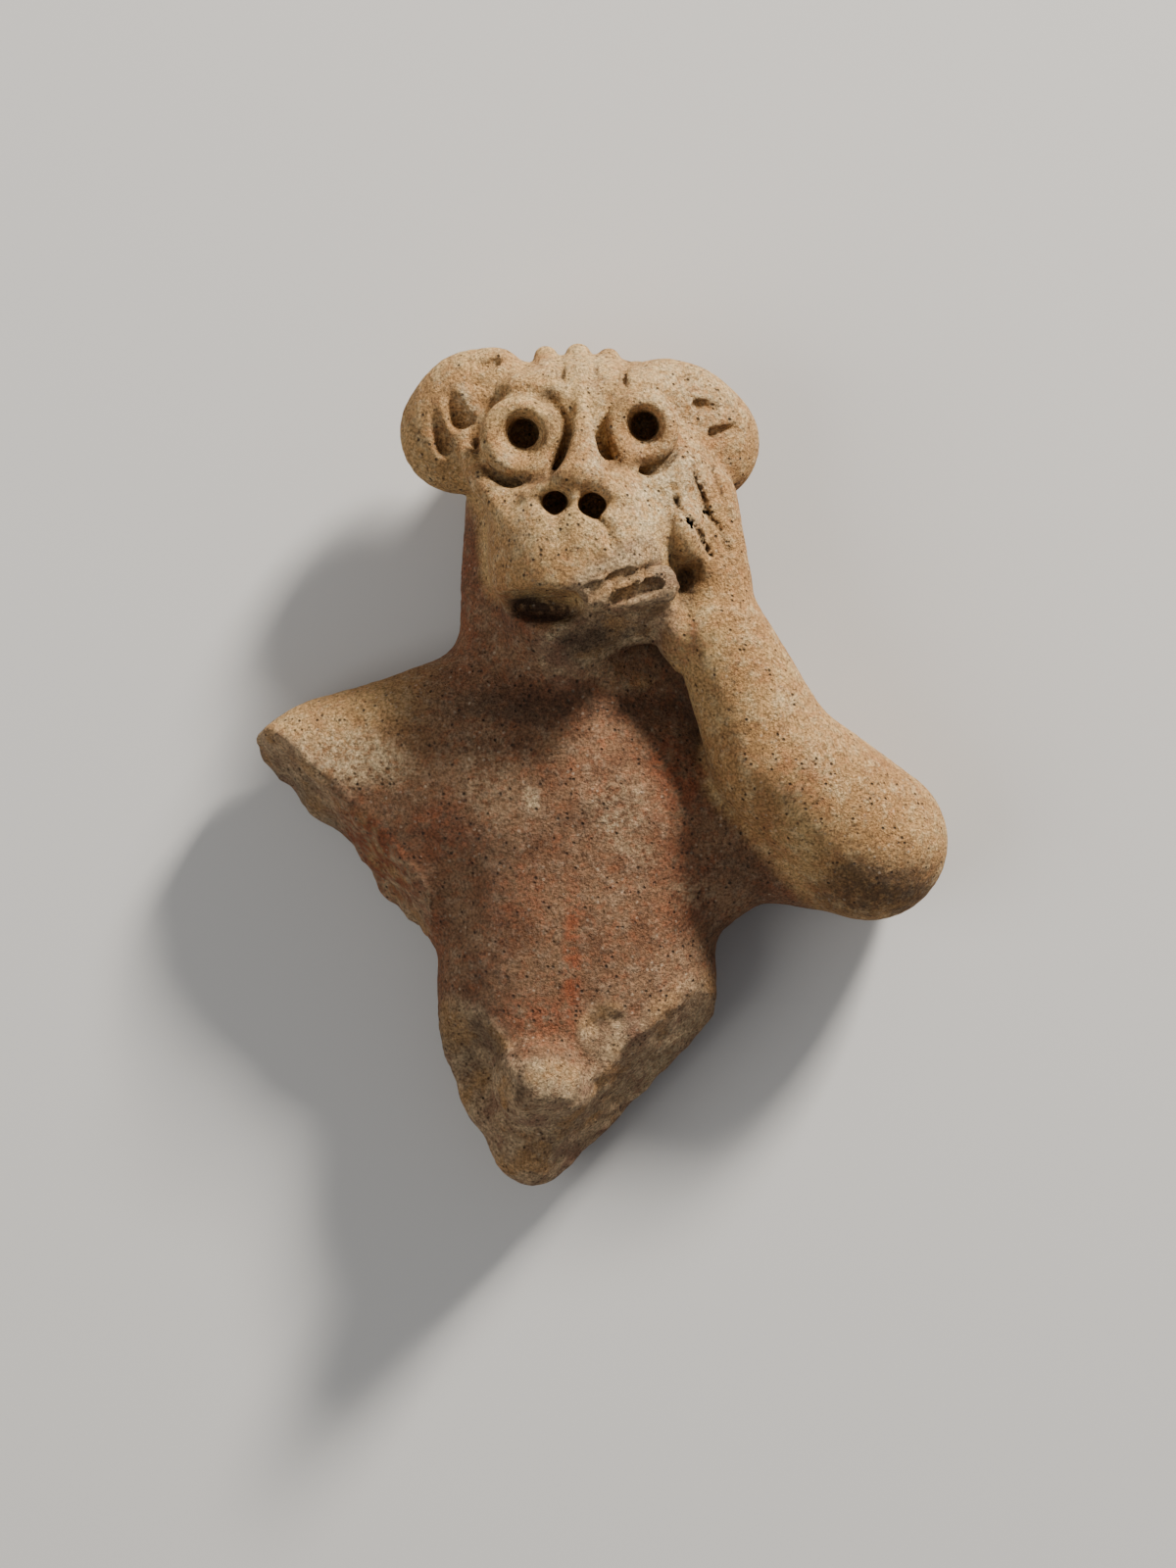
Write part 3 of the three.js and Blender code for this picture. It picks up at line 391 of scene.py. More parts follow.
def head(p):
    d = ball(p, on_head(0.2, 0, 0), (HEAD_WIDTH / 2, HEAD_HEIGHT / 2, HEAD_DEPTH / 2))
    end = on_head(0.6, -MUZZLE_LENGTH, -2.9 + MUZZLE_SLOPE * MUZZLE_LENGTH)
    wide, deep = MUZZLE_WIDTH / 2, MUZZLE_DEPTH / MUZZLE_WIDTH
    d = join(2.5, d, roll(p, on_head(0.5, 0, -2.9), end, wide, wide, deep, 2.5))
    thick = BROW_THICKNESS / 2
    brow = roll(p, on_head(-5.5, 4.8, 5.3), on_head(6.7, 5, 5.3), thick, thick, 1.15)
    d = cut_chin(p, add_ears(p, join(2, d, brow)))
    fold = join(0.5, roll(p, on_head(-11.2, -0.6, 5.8), on_head(-9, -4.4, 9.1), 1.1, 1.1),
                roll(p, on_head(-9, -4.4, 9.1), on_head(-6.3, -8.2, 11.7), 1.1, 0.8))
    d = join(1.6, d, fold)
    d = carve(1.2, d, ball(p, on_face(-1.6, 2.8, 2.4), (1.5, 4.8, 1.8), -8),
              ball(p, on_face(2.5, 3.1, 2.6), (1.3, 4.8, 1.8), 8))
    cheek = ball(p, on_head(9.3, -3.4, 4.6), (4.3, 4.6, 6))
    d = join(2, d, cheek, ball(p, on_head(-8.6, -2.6, 5.6), (2.4, 2.6, 4.2)),
             ball(p, on_head(9.4, -0.6, 5.2), (2.6, 2.4, 4.2)))
    d = join(0.8, d, nose(p))
    for x, y, size, _ in EYES:
        d = add_eye(p, d, x, y, size)
    for x, y, size in ((-2.3, -6.1, 0.95), (1.4, -6.4, 1.05)):
        d = carve(0.5, d, roll(p, on_muzzle(x, y, 6.5), on_muzzle(x, y + 0.7, 6.5 - NOSTRIL_DEPTH),
                               NOSTRIL_WIDTH / 2 * size, size))
    return join(0.4, d, crest(p))


# Tool marks in the ears and the crest, and the hollow over the left eye: where each begins and ends on
# the head, and its widths against a plain gouge
GOUGES = (
    ((-13.8, 6.4, 5.6), (-12.0, 2.9, 4.5), 1.0, 1.6),
    ((-15.3, 4.3, 4.8), (-13.5, 0.1, 3.9), 0.75, 1.25),
    ((-9.6, 8.3, 3.9), (-8.4, 8.7, 3.7), 0.9, 0.95),
    ((-10.3, 6.5, 4.9), (-9.8, 6.7, 4.9), 0.75, 0.75),
    ((11.2, 7.2, 4.1), (11.8, 7.3, 4.1), 0.9, 0.9),
    ((12.1, 4.3, 5.0), (13.9, 4.1, 4.8), 1.0, 0.85),
    ((13.7, 1.4, 4.9), (15.9, 2.0, 4.1), 1.05, 0.8),
    ((-1.9, 9.7, 2.2), (-1.7, 6.3, 8.7), 0.9, 0.5),
    ((1.5, 9.9, 2.2), (1.6, 6.5, 8.7), 0.8, 0.5),
    ((4.7, 9.3, 1.4), (4.5, 6.3, 8.3), 0.9, 0.5),
    ((-3.0, 5.5, 9.4), (-2.2, 4.7, 9.8), 1.5, 1.5),
)

# Lines drawn on the fingers and under the nose: where each begins and ends on the head, its width and
# its depth against a plain stroke
STROKES = (
    ((9.7, -5.4), (11.2, -7.6), 0.6, 0.6),
    ((11.2, -7.6), (13.5, -11), 0.55, 0.85),
    ((11.5, -2.6), (13.1, -6.6), 0.5, 0.85),
    ((13.1, -6.6), (15.3, -10.6), 0.5, 0.75),
    ((13.5, -2.1), (14.3, -4.6), 0.45, 0.6),
    ((14.3, -4.6), (15.4, -7.4), 0.45, 0.4),
    ((-2.4, -6.9), (-2.1, -9.5), 1.6, 0.5),
    ((1.9, -7.2), (4, -10.6), 1.0, 0.8),
)


def stroke_depth(p):
    """How deep the drawn lines go at each point."""
    waver = 0.16 * np.sin(p[:, 1] * 1.9 + 1.2 * np.sin(p[:, 1] * 3.3))
    depth = 0.0
    for a, b, width, deep in STROKES:
        d = np.array(b) - np.array(a)
        q = p[:, :2] - np.array(a) - np.array([0, HEAD_Y])
        q[:, 0] += waver
        h = np.clip(q @ d / (d @ d), 0, 1)
        out = np.hypot(*(q - h[:, None] * d).T) / (width * STROKE_WIDTH / 2)
        depth = depth + deep * STROKE_DEPTH * np.exp(-out * out)
    return depth * np.clip((p[:, 2] - HEAD_Z - 2.5) / 3, 0, 1)


def figure(p):
    """Distance from each point to the clay, negative inside."""
    rough = BREAK_ROUGHNESS * (lumps(p, 2.6, 1) + 0.5 * lumps(p, 1.2, 2))
    d = join(5, join(3, torso(p, rough), stump(p, rough)), upper_arm(p))
    neck = roll(p, (0.1, HEAD_Y - 4.2, BODY_Z - 0.4), (0, CHEST_Y + 7.7, BODY_Z - 0.6),
                NECK_WIDTH / 2, NECK_BASE_WIDTH / 2, NECK_FLATNESS, 2.2)
    throat = roll(p, on_head(-1.5, -14.5, 4.5), (-0.5, CHEST_Y + 12, BODY_Z + 1), 6.4, 6.6)
    d = join(1.2, join(1.9, d, neck, throat), head(p))
    d = join(1.2, add_mouth(p, d, rough), forearm(p), hand(p))
    x, y, z = WRIST
    knob = roll(p, (x - 5.1, y - 1.2, z - 1.2), (x - 4.0, y - 3.4, z - 0.6), 1.0, 0.7)
    d = join(1, d, ball(p, (x - 4.2, y + 0.3, z - 0.8), (2.4, 3.5, 4.3)))
    d = join(0.5, d, knob + 0.8 * rough)
    for a, b, start, end in GOUGES:
        d = carve(0.5, d, roll(p, on_head(*a), on_head(*b), GOUGE_WIDTH / 2 * start, GOUGE_WIDTH / 2 * end))
    return np.maximum(d + stroke_depth(p) + 0.12 * lumps(p, 7.0, 3), -p[:, 2])


def read_form(form, p):
    """A form's distance at many points, a part of them at a time."""
    return np.concatenate([form(part) for part in np.array_split(p, max(1, len(p) // POINTS_AT_ONCE))])


def read(p):
    return read_form(skin, p)


def near_cells(low, count):
    """The grid's cells, as whole numbers, that may hold the surface, found in ever smaller blocks."""
    block, keep = 8, 1.5
    reach = [np.arange(0, n, block) for n in count]
    cells = np.stack(np.meshgrid(*reach, indexing="ij"), -1).reshape(-1, 3)
    while True:
        middle = low + (cells + block / 2) * GRID
        cells = cells[np.abs(read(middle)) < block * GRID * keep]
        if block == 1:
            return cells
        block //= 2
        corners = np.array([(i, j, k) for i in (0, block) for j in (0, block) for k in (0, block)])
        cells = (cells[:, None] + corners).reshape(-1, 3)


def skin(p):
    """The figure with the fine grain of its clay, coarser where it is broken."""
    d = figure(p)
    near = np.flatnonzero(np.abs(d) < 1.2)
    q = p[near]
    crumbly = np.clip(1.3 - ball(q, (-3.4, HIP_Y - 6.6, BODY_Z + 9), (4.6, 4.2, 5)), 0, 1)
    grain = 0.04 * lumps(q, 0.6, 7) + raw_clay(q) * (0.07 * lumps(q, 1.1, 5) + 0.04 * lumps(q, 0.5, 6))
    d[near] += grain + crumbly * (0.16 * lumps(q, 1.3, 12) + 0.09 * lumps(q, 0.65, 13)) - lip_layers(q)
    d[near] += worn_hollows(q)
    return np.maximum(d, -p[:, 2])


def worn_hollows(p):
    """How deep the clay is worn in round the rings and under the nose."""
    depth = np.zeros(len(p))
    for x, y, size, worn in EYES:
        middle = on_face(x, y, 0.4)
        out = np.hypot(p[:, 0] - middle[0], p[:, 1] - middle[1]) - RING_WIDTH / 2 * size
        trough = out - RING_THICKNESS * size / 2 - 0.35
        depth += worn * np.exp(-(trough / 0.6) ** 2) - 0.28 * np.exp(-(out / 0.75) ** 2)
    for x, y in ((-2.4, -5.8), (1.6, -6.1)):
        middle = on_muzzle(x, y, 0)
        across, along = (p[:, 0] - middle[0]) / 1.9, (p[:, 1] - middle[1]) / 0.9
        depth += 0.4 * np.exp(-(across**2 + along**2) ** 2)
    return depth * (p[:, 2] > HEAD_Z + 3)


def lip_layers(p):
    """Slanting layers of clay that stand out on the torn lip."""
    x, y = p[:, 0] - 4.6, p[:, 1] - HEAD_Y + 14.4
    along, across = 0.91 * x + 0.41 * y, 0.91 * y - 0.41 * x
    layers = np.cos(3.3 * (across + 0.25 * lumps(p, 1.6, 14)) + 0.5)
    inside = np.clip(1.5 - np.hypot(along / 3.6, across / 2.1), 0, 1) * (p[:, 2] > HEAD_Z + 8)
    return 0.24 * inside * layers


def raw_clay(p):
    """1 on the raw clay of the breaks and tears, 0 on the worked skin."""
    arm = np.clip(1.4 - np.abs(arm_break(p)), 0, 1)
    side = np.clip(1.6 - np.abs(side_break(p)), 0, 1)
    scoop = np.clip(1.2 - ball(p, (-13.6, HIP_Y - 7.4, BODY_Z + 7), (7.2, 9.2, 7.4), 22), 0, 1)
    low = np.clip((HIP_Y - 3.9 - p[:, 1] - 0.3 * np.abs(p[:, 0] + 4)) / 0.9, 0, 1)
    jaw = np.clip(1.2 - np.abs(jaw_break(p)), 0, 1)
    slab = roll(p, on_muzzle(2.5, -15.2, -1.3), on_muzzle(7.2, -13, -1.3), 1.9, 1.9, 0.6)
    lip = np.clip(1.6 - slab, 0, 1)
    scar = np.clip(3.4 - np.hypot(p[:, 0] - 2.9, p[:, 1] - HIP_Y + 2), 0, 1) * (p[:, 2] > BODY_Z)
    arm = arm * (p[:, 0] < -15)
    side = side * (p[:, 1] < HIP_Y + 6) * (p[:, 0] > -2)
    jaw = jaw * (np.hypot(p[:, 0] - 2.5, p[:, 1] - HEAD_Y + 18.5) < 7.5)
    return np.maximum.reduce([arm, 0.7 * side, scoop, low, jaw, 1.6 * lip, scar])


def slope_at(p):
    """Direction straight out of the clay at each point, from four places round it."""
    out = np.zeros_like(p)
    for corner in ((1, -1, -1), (-1, -1, 1), (-1, 1, -1), (1, 1, 1)):
        out += read(p + np.array(corner) * SLOPE_REACH)[:, None] * corner
    return out / (4 * SLOPE_REACH)


# The corners of a cell
CORNERS = np.array([(i, j, k) for i in (0, 1) for j in (0, 1) for k in (0, 1)])


def surface_cells():
    """The grid's low corner, the cells that the surface cuts and the distances at their corners."""
    low = np.array(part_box("figurine")[0]) / MM - ROOM_BELOW
    high = np.array(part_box("figurine")[1]) / MM + ROOM_ABOVE
    count = np.ceil((high - low) / GRID).astype(int) + 2
    cells = near_cells(low, count)
    key = cells @ np.array([1, count[0], count[0] * count[1]])
    cells = cells[np.unique(key, return_index=True)[1]]
    nodes = (cells[:, None] + CORNERS).reshape(-1, 3)
    key = nodes @ np.array([1, count[0] + 4, (count[0] + 4) * (count[1] + 4)])
    _, first, back = np.unique(key, return_index=True, return_inverse=True)
    value = read(low + nodes[first] * GRID)[back].reshape(-1, 8)
    crossing = (value.min(1) < 0) & (value.max(1) >= 0)
    return low, cells[crossing], value[crossing]


def cell_points(low, cells, value):
    """A point for each cell, in the middle of the places where the surface cuts its edges."""
    total, number = np.zeros((len(cells), 3)), np.zeros(len(cells))
    for a in range(8):
        for b in range(a + 1, 8):
            if np.abs(CORNERS[a] - CORNERS[b]).sum() != 1:
                continue
            cut = (value[:, a] < 0) != (value[:, b] < 0)
            t = value[cut, a] / (value[cut, a] - value[cut, b])
            total[cut] += CORNERS[a] + t[:, None] * (CORNERS[b] - CORNERS[a])
            number[cut] += 1
    return low + (cells + total / number[:, None]) * GRID


def cell_faces(cells, value):
    """A four-sided face round each cut edge, between the points of its four cells."""
    place = {tuple(c): i for i, c in enumerate(cells.tolist())}
    faces = []
    for axis in range(3):
        far = np.zeros(3, int)
        far[axis] = 1
        at = int(np.flatnonzero((CORNERS == far).all(1))[0])
        u, v = np.eye(3, dtype=int)[(axis + 1) % 3], np.eye(3, dtype=int)[(axis + 2) % 3]
        for i in np.flatnonzero((value[:, 0] < 0) != (value[:, at] < 0)):
            c = cells[i]
            around = [place.get(tuple(q)) for q in (c, c - u, c - u - v, c - v)]
            if None not in around:
                faces.append(around if value[i, 0] < 0 else around[::-1])
    return faces


def fine_surface():
    """Points, four-sided faces and outward directions of the figure's surface."""
    low, cells, value = surface_cells()
    points = cell_points(low, cells, value)
    faces = cell_faces(cells, value)
    for _ in range(3):
        slope = slope_at(points)
        steep = np.maximum((slope**2).sum(1), 0.3)
        move = np.clip(read(points) / steep, -0.15, 0.15)
        points = points - slope * move[:, None]
    out = slope_at(points)
    return points, faces, out / (np.linalg.norm(out, axis=1)[:, None] + 1e-9)


# Stains on the front, in millimetres: x and y of the middle, half width, half height, turn in degrees,
# strength
RED_SLIP = (
    (-20.4, -7.0, 2.8, 6.8, 35, 1.5), (-4.0, -23.4, 4.6, 2.2, 0, 1.0), (-0.7, -18.0, 0.9, 8.0, 0, 1.5),
    (22.4, 0.3, 3.4, 2.2, -45, 0.7), (20.0, -5.5, 1.8, 4.5, 20, 0.6), (23.5, -11.0, 4.5, 1.4, -8, 0.6),
    (-11.6, 19.0, 1.6, 8.0, 0, 0.8), (10.2, 0.5, 2.8, 5.0, 10, 1.1), (-7.6, 18.7, 3.0, 0.8, -28, 0.9),
    (-14.6, -16.5, 1.5, 5.0, 0, 0.7), (-14.0, -5.0, 3.4, 3.6, 30, 0.8), (10.4, -10.0, 2.4, 5.0, 0, 0.8),
    (11.0, 14.6, 1.6, 2.8, 0, 0.9), (4.9, 18.3, 2.4, 0.6, 18, 0.5), (-5.2, 16.0, 2.6, 0.8, -20, 0.6),
    (-6.5, -11.5, 4.5, 3.0, 0, 0.6), (1.5, 9.0, 7.0, 3.0, 0, 0.7),
)
PALE_CRUST = (
    (3.4, -3.8, 0.9, 0.8, 0, 0.9), (-4.8, -1.6, 0.8, 1.3, 10, 0.8), (4.6, -2.2, 3.6, 3.2, 0, 0.3),
    (-9.0, 0.0, 3.2, 4.2, 0, 0.28), (11.4, -11.0, 2.6, 1.6, 0, 0.35), (5.6, -6.6, 3.2, 1.4, -20, 0.3),
    (9.0, 29.6, 4.2, 4.6, 0, 1.1), (11.5, 39.6, 6.0, 3.4, -20, 0.7), (-2.8, -30.0, 3.0, 1.7, -30, 0.55),
    (-1.6, 16.2, 2.8, 0.55, 44, 1.0), (3.0, 13.4, 5.5, 0.45, 22, 0.7), (-22.5, 2.6, 5.5, 2.6, -8, 0.8),
    (9.0, -27.2, 6.5, 1.7, 46, 0.6), (-11.2, 38.4, 0.9, 2.2, 25, 0.9), (0.5, 42.0, 3.5, 2.5, 0, 0.4),
    (-4.8, 26.0, 3.0, 3.2, 0, 0.35), (5.5, 26.0, 3.6, 3.6, 0, 0.5), (1.9, 34.2, 0.8, 5.5, -3, 0.85),
    (20.8, 8.3, 1.6, 1.0, -35, 0.6), (24.5, 2.6, 3.6, 0.9, -50, 0.35), (-7.4, 32.6, 0.9, 0.9, 0, 0.8),
)
# Dark patches: soil beside the nose and a few small dark spots, and painted shadows under the chin and at
# the base of the neck, in the gape, under the eye rings, between the hand and the muzzle, between the arm
# and the chest, at the top of the left scoop and under the elbow
SOIL_AND_SHADOW_PATCHES = (
    (-2.6, 36.2, 1.1, 3.4, -8, 0.5), (-2.9, 39.2, 1.4, 0.9, 10, 0.8), (-5.0, 30.7, 3.9, 0.6, 8, 0.8),
    (2.9, 35.4, 0.6, 2.6, 6, 0.45), (3.2, 39.6, 2.0, 1.2, -25, 0.4), (5.4, 32.4, 3.0, 0.5, 12, 0.6),
    (-3.7, 17.5, 4.0, 1.3, -8, 1.35), (-9.2, -25.9, 3.0, 1.1, -42, 0.5),
    (-13.2, 40.0, 1.0, 0.4, 20, 0.6), (-2.0, 8.0, 12.5, 2.0, 0, 0.85), (-4.4, 7.8, 6.0, 1.5, 0, 0.9),
    (0.9, -3.4, 2.6, 1.6, 0, 0.5), (10.9, 19.8, 1.1, 2.4, 0, 0.9), (13.4, 0.5, 1.3, 7.0, 24, 0.3),
    (17.2, -9.0, 1.6, 3.6, 40, 0.4), (4.0, -2.2, 2.2, 1.4, 0, 0.35), (30.5, -10.4, 6.8, 3.4, 8, 0.95),
    (0.8, 14.5, 2.8, 1.0, 16, 0.9), (-3.0, 31.2, 1.8, 0.6, 42, 0.7), (-5.9, -30.6, 0.5, 1.7, 0, 0.7),
)
GREY_BREAK = (
    (0.6, 14.5, 3.8, 1.5, 18, 1.0), (4.0, 14.9, 3.6, 0.7, 18, 0.7), (-12.0, -26.6, 4.4, 4.0, 30, 0.5),
    (-2.6, -36.0, 4.0, 2.4, 0, 0.3), (-28.0, -1.0, 6.5, 1.6, -47, 0.6),
)


def stains(p, out, places):
    """Soft patches on the surfaces that look to the front, each 1 in its middle."""
    total = np.zeros(len(p))
    coarse = np.stack([lumps(p, 1.7, 8), lumps(p, 1.7, 9)], axis=1)
    ragged = coarse + np.stack([lumps(p, 0.8, 10), lumps(p, 0.8, 11)], axis=1) * 0.6
    for x, y, width, height, turn, strength in places:
        c, s = np.cos(np.radians(turn)), np.sin(np.radians(turn))
        q = p[:, :2] - np.array([x, y]) + 0.3 * min(width, height) * ragged
        u = (q[:, 0] * c + q[:, 1] * s) / width
        v = (q[:, 1] * c - q[:, 0] * s) / height
        total = np.maximum(total, strength * np.exp(-(u**2 + v**2) ** 2))
    return total * np.clip(out[:, 2] * 3 + 0.8, 0, 1)


def paint(mesh, name, values):
    """Stores one value for each point under a name that a material can read."""
    layer = mesh.attributes.new(name, "FLOAT", "POINT")
    layer.data.foreach_set("value", np.asarray(values, np.float32))


def make_figure():
    """The figure's fine surface, with what its material needs to know at each point."""
    points, faces, out = fine_surface()
    mesh = bpy.data.meshes.new("figurine_surface")
    mesh.from_pydata((points * MM).tolist(), [], faces)
    mesh.shade_smooth()
    # How enclosed each point is; the material turns enclosed places to soil and painted shade
    closeness = 0.0
    for reach in (0.5, 1.2, 2.4):
        closeness = closeness + np.clip(1 - read(points + out * reach) / reach, 0, 1) / 3
    paint(mesh, "hollow", closeness)
    # The body's darker clay goes where the limbs and head are not: its own colour in part, and in part
    # painted shade of the light grazing the chest and neck
    limb = np.minimum(read_form(forearm, points), read_form(hand, points))
    body = np.clip(np.minimum(limb, read_form(head, points)) * 0.8 - 0.3, 0, 1)
    # Painted light: the stump's side that faces up towards the key light keeps the lighter clay
    stump_top_painted_light = np.clip((-points[:, 0] - 13) / 8, 0, 1) * np.clip(out[:, 1] * 1.6 + 0.2, 0, 1)
    paint(mesh, "body", body * (1 - 0.8 * stump_top_painted_light))
    # The dark patches are soil and painted shadows
    for name, places in (("slip", RED_SLIP), ("crust", PALE_CRUST), ("soil_and_shadow_patch", SOIL_AND_SHADOW_PATCHES), ("grey", GREY_BREAK)):
        paint(mesh, name, stains(points, out, places))
    paint(mesh, "broken", np.minimum(raw_clay(points), 1))
    figurine = bpy.data.objects.new("figurine_surface", mesh)
    bpy.context.scene.collection.objects.link(figurine)
    return figurine


class Nodes:
    """Short calls for building a material from nodes."""

    def __init__(self, material):
        material.use_nodes = True
        self.tree = material.node_tree
        self.tree.nodes.clear()

    def add(self, kind, **settings):
        node = self.tree.nodes.new(kind)
        for name, value in settings.items():
            if hasattr(node, name):
                setattr(node, name, value)
            else:
                node.inputs[name.replace("_", " ")].default_value = value
        return node

    def link(self, out, into):
        self.tree.links.new(out, into)

    def mix(self, factor, a, b, blend="MIX"):
        node = self.add("ShaderNodeMix", data_type="RGBA", blend_type=blend)
        for socket, value in ((node.inputs[0], factor), (node.inputs[6], a), (node.inputs[7], b)):
            if isinstance(value, bpy.types.NodeSocket):
                self.link(value, socket)
            else:
                socket.default_value = value
        return node.outputs[2]

    def math(self, operation, a, b):
        node = self.add("ShaderNodeMath", operation=operation)
        for socket, value in zip(node.inputs, (a, b)):
            if isinstance(value, bpy.types.NodeSocket):
                self.link(value, socket)
            else:
                socket.default_value = value
        return node.outputs[0]

    def between(self, value, low, high, to_low=0.0, to_high=1.0):
        node = self.add("ShaderNodeMapRange", clamp=True)
        self.link(value, node.inputs[0])
        for socket, number in zip(list(node.inputs)[1:5], (low, high, to_low, to_high)):
            socket.default_value = number
        return node.outputs[0]

    def noise(self, size, detail, rough=0.55):
        node = self.add("ShaderNodeTexNoise")
        node.inputs["Scale"].default_value = 1 / (size * MM)
        node.inputs["Detail"].default_value = detail
        node.inputs["Roughness"].default_value = rough
        self.link(self.place, node.inputs["Vector"])
        return node.outputs["Fac"]

    def grains(self, size):
        node = self.add("ShaderNodeTexVoronoi")
        node.inputs["Scale"].default_value = 1 / (size * MM)
        self.link(self.place, node.inputs["Vector"])
        return node.outputs["Distance"], node.outputs["Color"]

    def stored(self, name):
        return self.add("ShaderNodeAttribute", attribute_name=name).outputs["Fac"]


def colour(rgb):
    return (*rgb, 1.0)


def make_clay():
    """Fired clay with slip, crust and soil on it, painted shade in its hollows and shadowed places, raw
    where it is broken.
    """
    material = bpy.data.materials.new("terracotta")
    n = Nodes(material)
    n.place = n.add("ShaderNodeTexCoord").outputs["Object"]
    large, patch = n.noise(12, 4), n.noise(4.5, 4)
    mottle, fine = n.noise(1.5, 6, 0.68), n.noise(0.3, 4, 0.7)
    hollow, broken, soil_and_shadow_patch = n.stored("hollow"), n.stored("broken"), n.stored("soil_and_shadow_patch")

    buff = n.mix(n.between(large, 0.4, 0.6), colour(BUFF), colour(YELLOW_BUFF))
    buff = n.mix(n.between(patch, 0.55, 0.68, 0, 0.5), buff, colour(RUST))
    buff = n.mix(n.between(mottle, 0.5, 0.66, 0, 0.6), buff, colour(PALE_BUFF))
    buff = n.mix(n.between(n.noise(1.1, 5, 0.7), 0.54, 0.62, 0, 0.45), buff, colour(RUST_SPOT))
    buff = n.mix(n.between(n.noise(0.8, 5, 0.7), 0.57, 0.64, 0, 0.4), buff, colour(BROWN_SPOT))
    # The body's darker clay, in part painted shade of the light grazing the chest
    body_clay_and_shade = n.mix(n.between(patch, 0.4, 0.6), colour(DARK_BODY_CLAY_AND_SHADE), colour(BODY_CLAY_AND_SHADE))
    body_clay_and_shade = n.mix(n.between(mottle, 0.5, 0.68, 0, 0.6), body_clay_and_shade, colour(PALE_EARTH))
    body_clay_and_shade = n.mix(n.between(n.noise(1.0, 5, 0.7), 0.52, 0.6, 0, 0.5), body_clay_and_shade, colour(RED_SPOT))
    body_clay_and_shade = n.mix(n.between(n.noise(0.7, 5, 0.7), 0.56, 0.63, 0, 0.45), body_clay_and_shade, colour(DARK_SPOT))
    base = n.mix(n.stored("body"), buff, body_clay_and_shade)
    raw = n.mix(n.between(mottle, 0.38, 0.62), colour(RAW), colour(PALE_RAW))
    raw = n.mix(n.between(patch, 0.52, 0.62, 0, 0.6), raw, colour(OCHRE_RAW))
    raw = n.mix(n.between(patch, 0.46, 0.36, 0, 0.5), raw, colour(RED_RAW))
    base = n.mix(n.math("MULTIPLY", broken, 0.8), base, raw)
    slip = n.math("MULTIPLY", n.stored("slip"), n.between(n.noise(1.2, 5, 0.7), 0.40, 0.56))
    base = n.mix(n.math("MULTIPLY", slip, 0.6), base, colour(SLIP))
    crust = n.math("MULTIPLY", n.stored("crust"), n.between(n.noise(0.8, 6, 0.72), 0.42, 0.58))
    base = n.mix(n.math("MULTIPLY", crust, 0.85), base, colour(CRUST))
    grey = n.math("MULTIPLY", n.stored("grey"), n.between(n.noise(1.6, 5, 0.7), 0.36, 0.58))
    base = n.mix(n.math("MULTIPLY", grey, 0.8), base, colour(GREY))
    # Soil and painted shade: enclosed places and the dark patches turn to the soil colour
    soil_and_shade = n.math("MAXIMUM", n.between(hollow, 0.36, 0.95), soil_and_shadow_patch)
    soil_and_shade = n.math("MULTIPLY", soil_and_shade, n.between(n.noise(0.9, 5, 0.7), 0.34, 0.52, 0.35, 1))
    base = n.mix(n.math("MULTIPLY", soil_and_shade, 0.85), base, colour(SOIL_AND_SHADE))

    dark = n.between(n.noise(0.5, 3, 0.6), 0.61, 0.68)
    distance, pick = n.grains(0.5)
    chance = n.add("ShaderNodeSeparateColor")
    n.link(pick, chance.inputs[0])
    grain = n.math("MULTIPLY", n.between(distance, 0.42, 0.2), n.between(chance.outputs[0], 0.9, 0.93))
    pit = n.math("MULTIPLY", n.between(distance, 0.40, 0.15), n.between(chance.outputs[1], 0.86, 0.9))
    base = n.mix(n.math("MULTIPLY", dark, 0.6), base, colour(FLECK))
    base = n.mix(n.math("MULTIPLY", grain, 0.3), base, colour(SAND))
    base = n.mix(n.math("MULTIPLY", pit, 0.85), base, colour(PIT))
    shade = n.between(fine, 0.36, 0.64, 0.5, 1.45)
    tone = n.add("ShaderNodeCombineColor")
    for socket in tone.inputs:
        n.link(shade, socket)
    base = n.mix(1.0, base, tone.outputs[0], "MULTIPLY")

    shader = n.add("ShaderNodeBsdfPrincipled")
    n.link(base, shader.inputs["Base Color"])
    n.link(n.between(mottle, 0.35, 0.65, 0.96, 0.8), shader.inputs["Roughness"])
    shader.inputs["Specular IOR Level"].default_value = 0.25
    height = n.math("ADD", n.math("MULTIPLY", mottle, 0.9), n.math("MULTIPLY", n.noise(0.45, 5, 0.7), 0.6))
    height = n.math("SUBTRACT", height, n.math("MULTIPLY", pit, 0.5))
    height = n.math("ADD", height, n.math("MULTIPLY", crust, 0.12))
    crumbs = n.math("MULTIPLY", broken, n.noise(0.8, 6, 0.75))
    height = n.math("ADD", height, n.math("MULTIPLY", crumbs, 1.1))
    bump = n.add("ShaderNodeBump", Strength=1.0, Distance=BUMP_DEPTH)
    n.link(height, bump.inputs["Height"])
    n.link(bump.outputs[0], shader.inputs["Normal"])
    out = n.add("ShaderNodeOutputMaterial")
    n.link(shader.outputs[0], out.inputs[0])
    return material


def make_floor():
    bpy.ops.mesh.primitive_plane_add(size=4.0, location=(0, 0, 0))
    floor = bpy.context.object
    floor.name = "floor"
    material = bpy.data.materials.new("pale_floor")
    n = Nodes(material)
    shader = n.add("ShaderNodeBsdfPrincipled", Roughness=0.9)
    shader.inputs["Base Color"].default_value = colour(FLOOR)
    out = n.add("ShaderNodeOutputMaterial")
    n.link(shader.outputs[0], out.inputs[0])
    floor.data.materials.append(material)


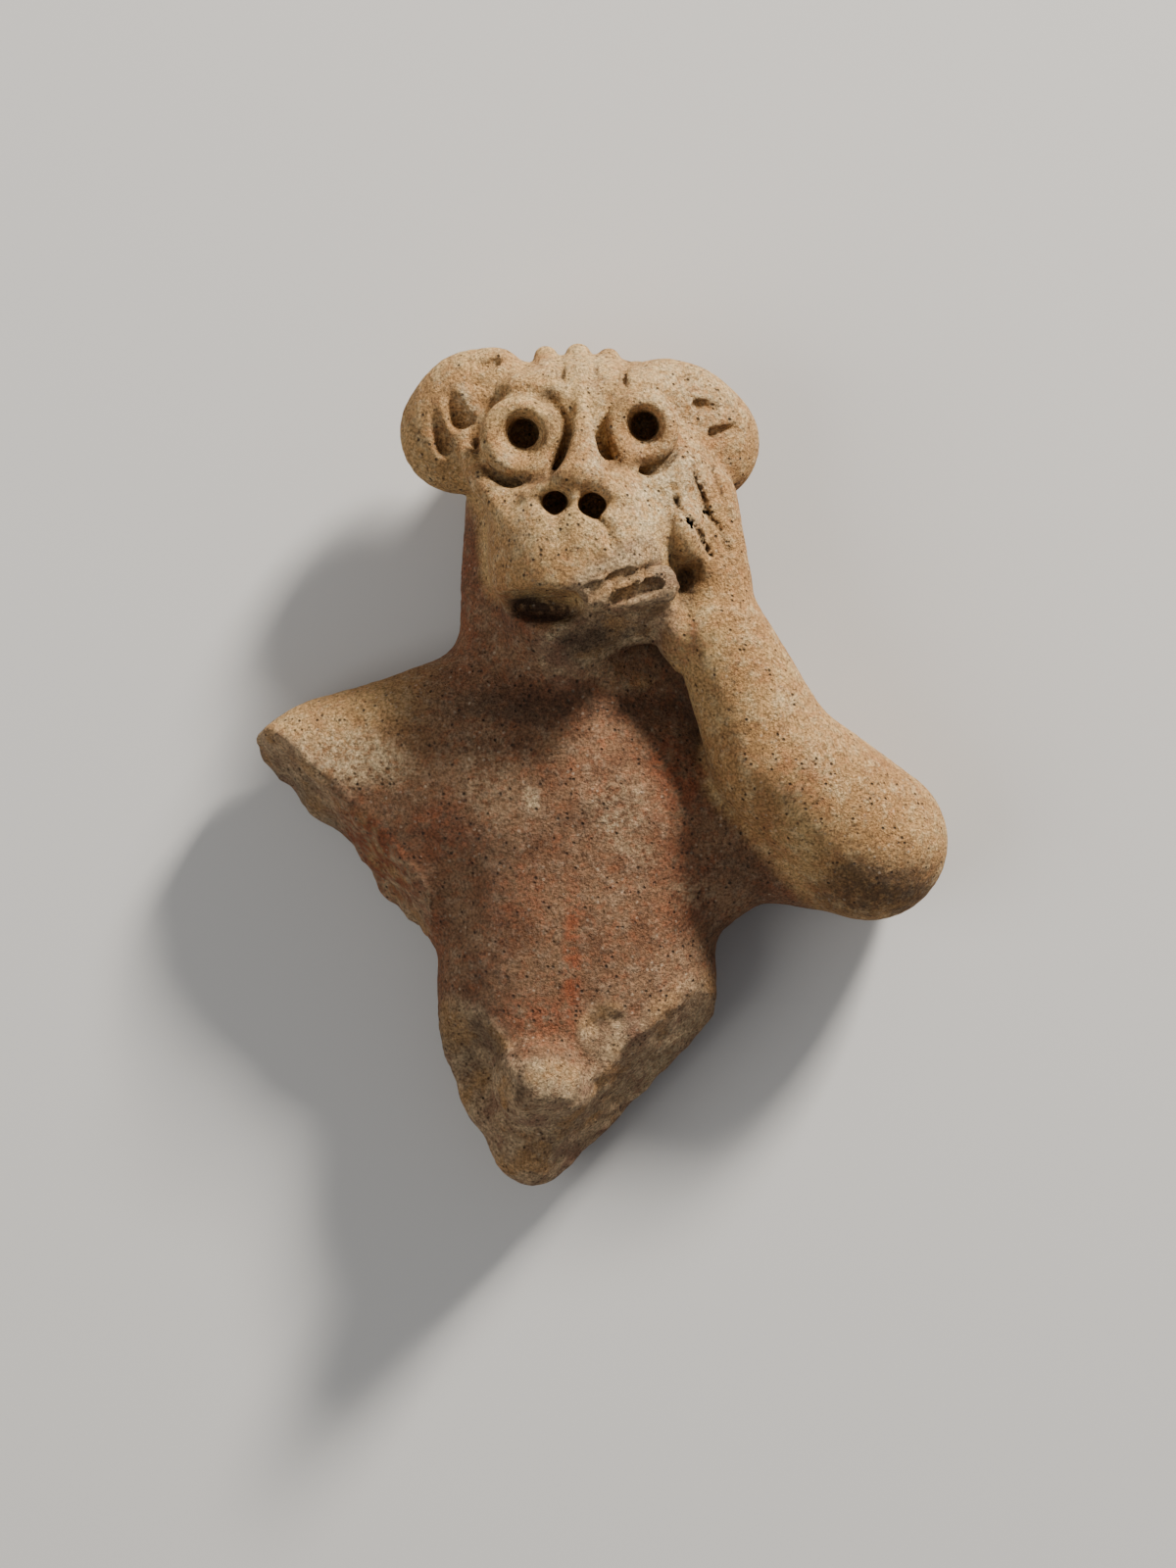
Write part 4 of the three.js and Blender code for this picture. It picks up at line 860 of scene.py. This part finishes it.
def make_light(name, place, size, power, tint):
    data = bpy.data.lights.new(name, "AREA")
    data.shape = "SQUARE"
    data.size = size
    data.energy = power
    data.color = tint
    light = bpy.data.objects.new(name, data)
    light.location = place
    aim = -light.location
    light.rotation_euler = aim.to_track_quat("-Z", "Y").to_euler()
    bpy.context.scene.collection.objects.link(light)


def make_studio():
    make_floor()
    make_light("key", *KEY_LIGHT)
    make_light("fill", *FILL_LIGHT)
    world = bpy.data.worlds.new("studio")
    world.use_nodes = True
    world.node_tree.nodes["Background"].inputs["Color"].default_value = colour(SKY)
    world.node_tree.nodes["Background"].inputs["Strength"].default_value = SKY_STRENGTH
    bpy.context.scene.world = world


def make_camera():
    data = bpy.data.cameras.new("camera")
    data.sensor_fit = "VERTICAL"
    data.sensor_height = SENSOR
    data.lens = SENSOR * (CAMERA_HEIGHT - VIEW_PLANE) / VIEW_HEIGHT
    data.clip_start = 0.01
    camera = bpy.data.objects.new("camera", data)
    camera.location = (CAMERA_X, 0, CAMERA_HEIGHT)
    bpy.context.scene.collection.objects.link(camera)
    bpy.context.scene.camera = camera


figurine = make_figure()
figurine.data.materials.append(make_clay())
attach(figurine, "root")
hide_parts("figurine")
make_studio()
make_camera()
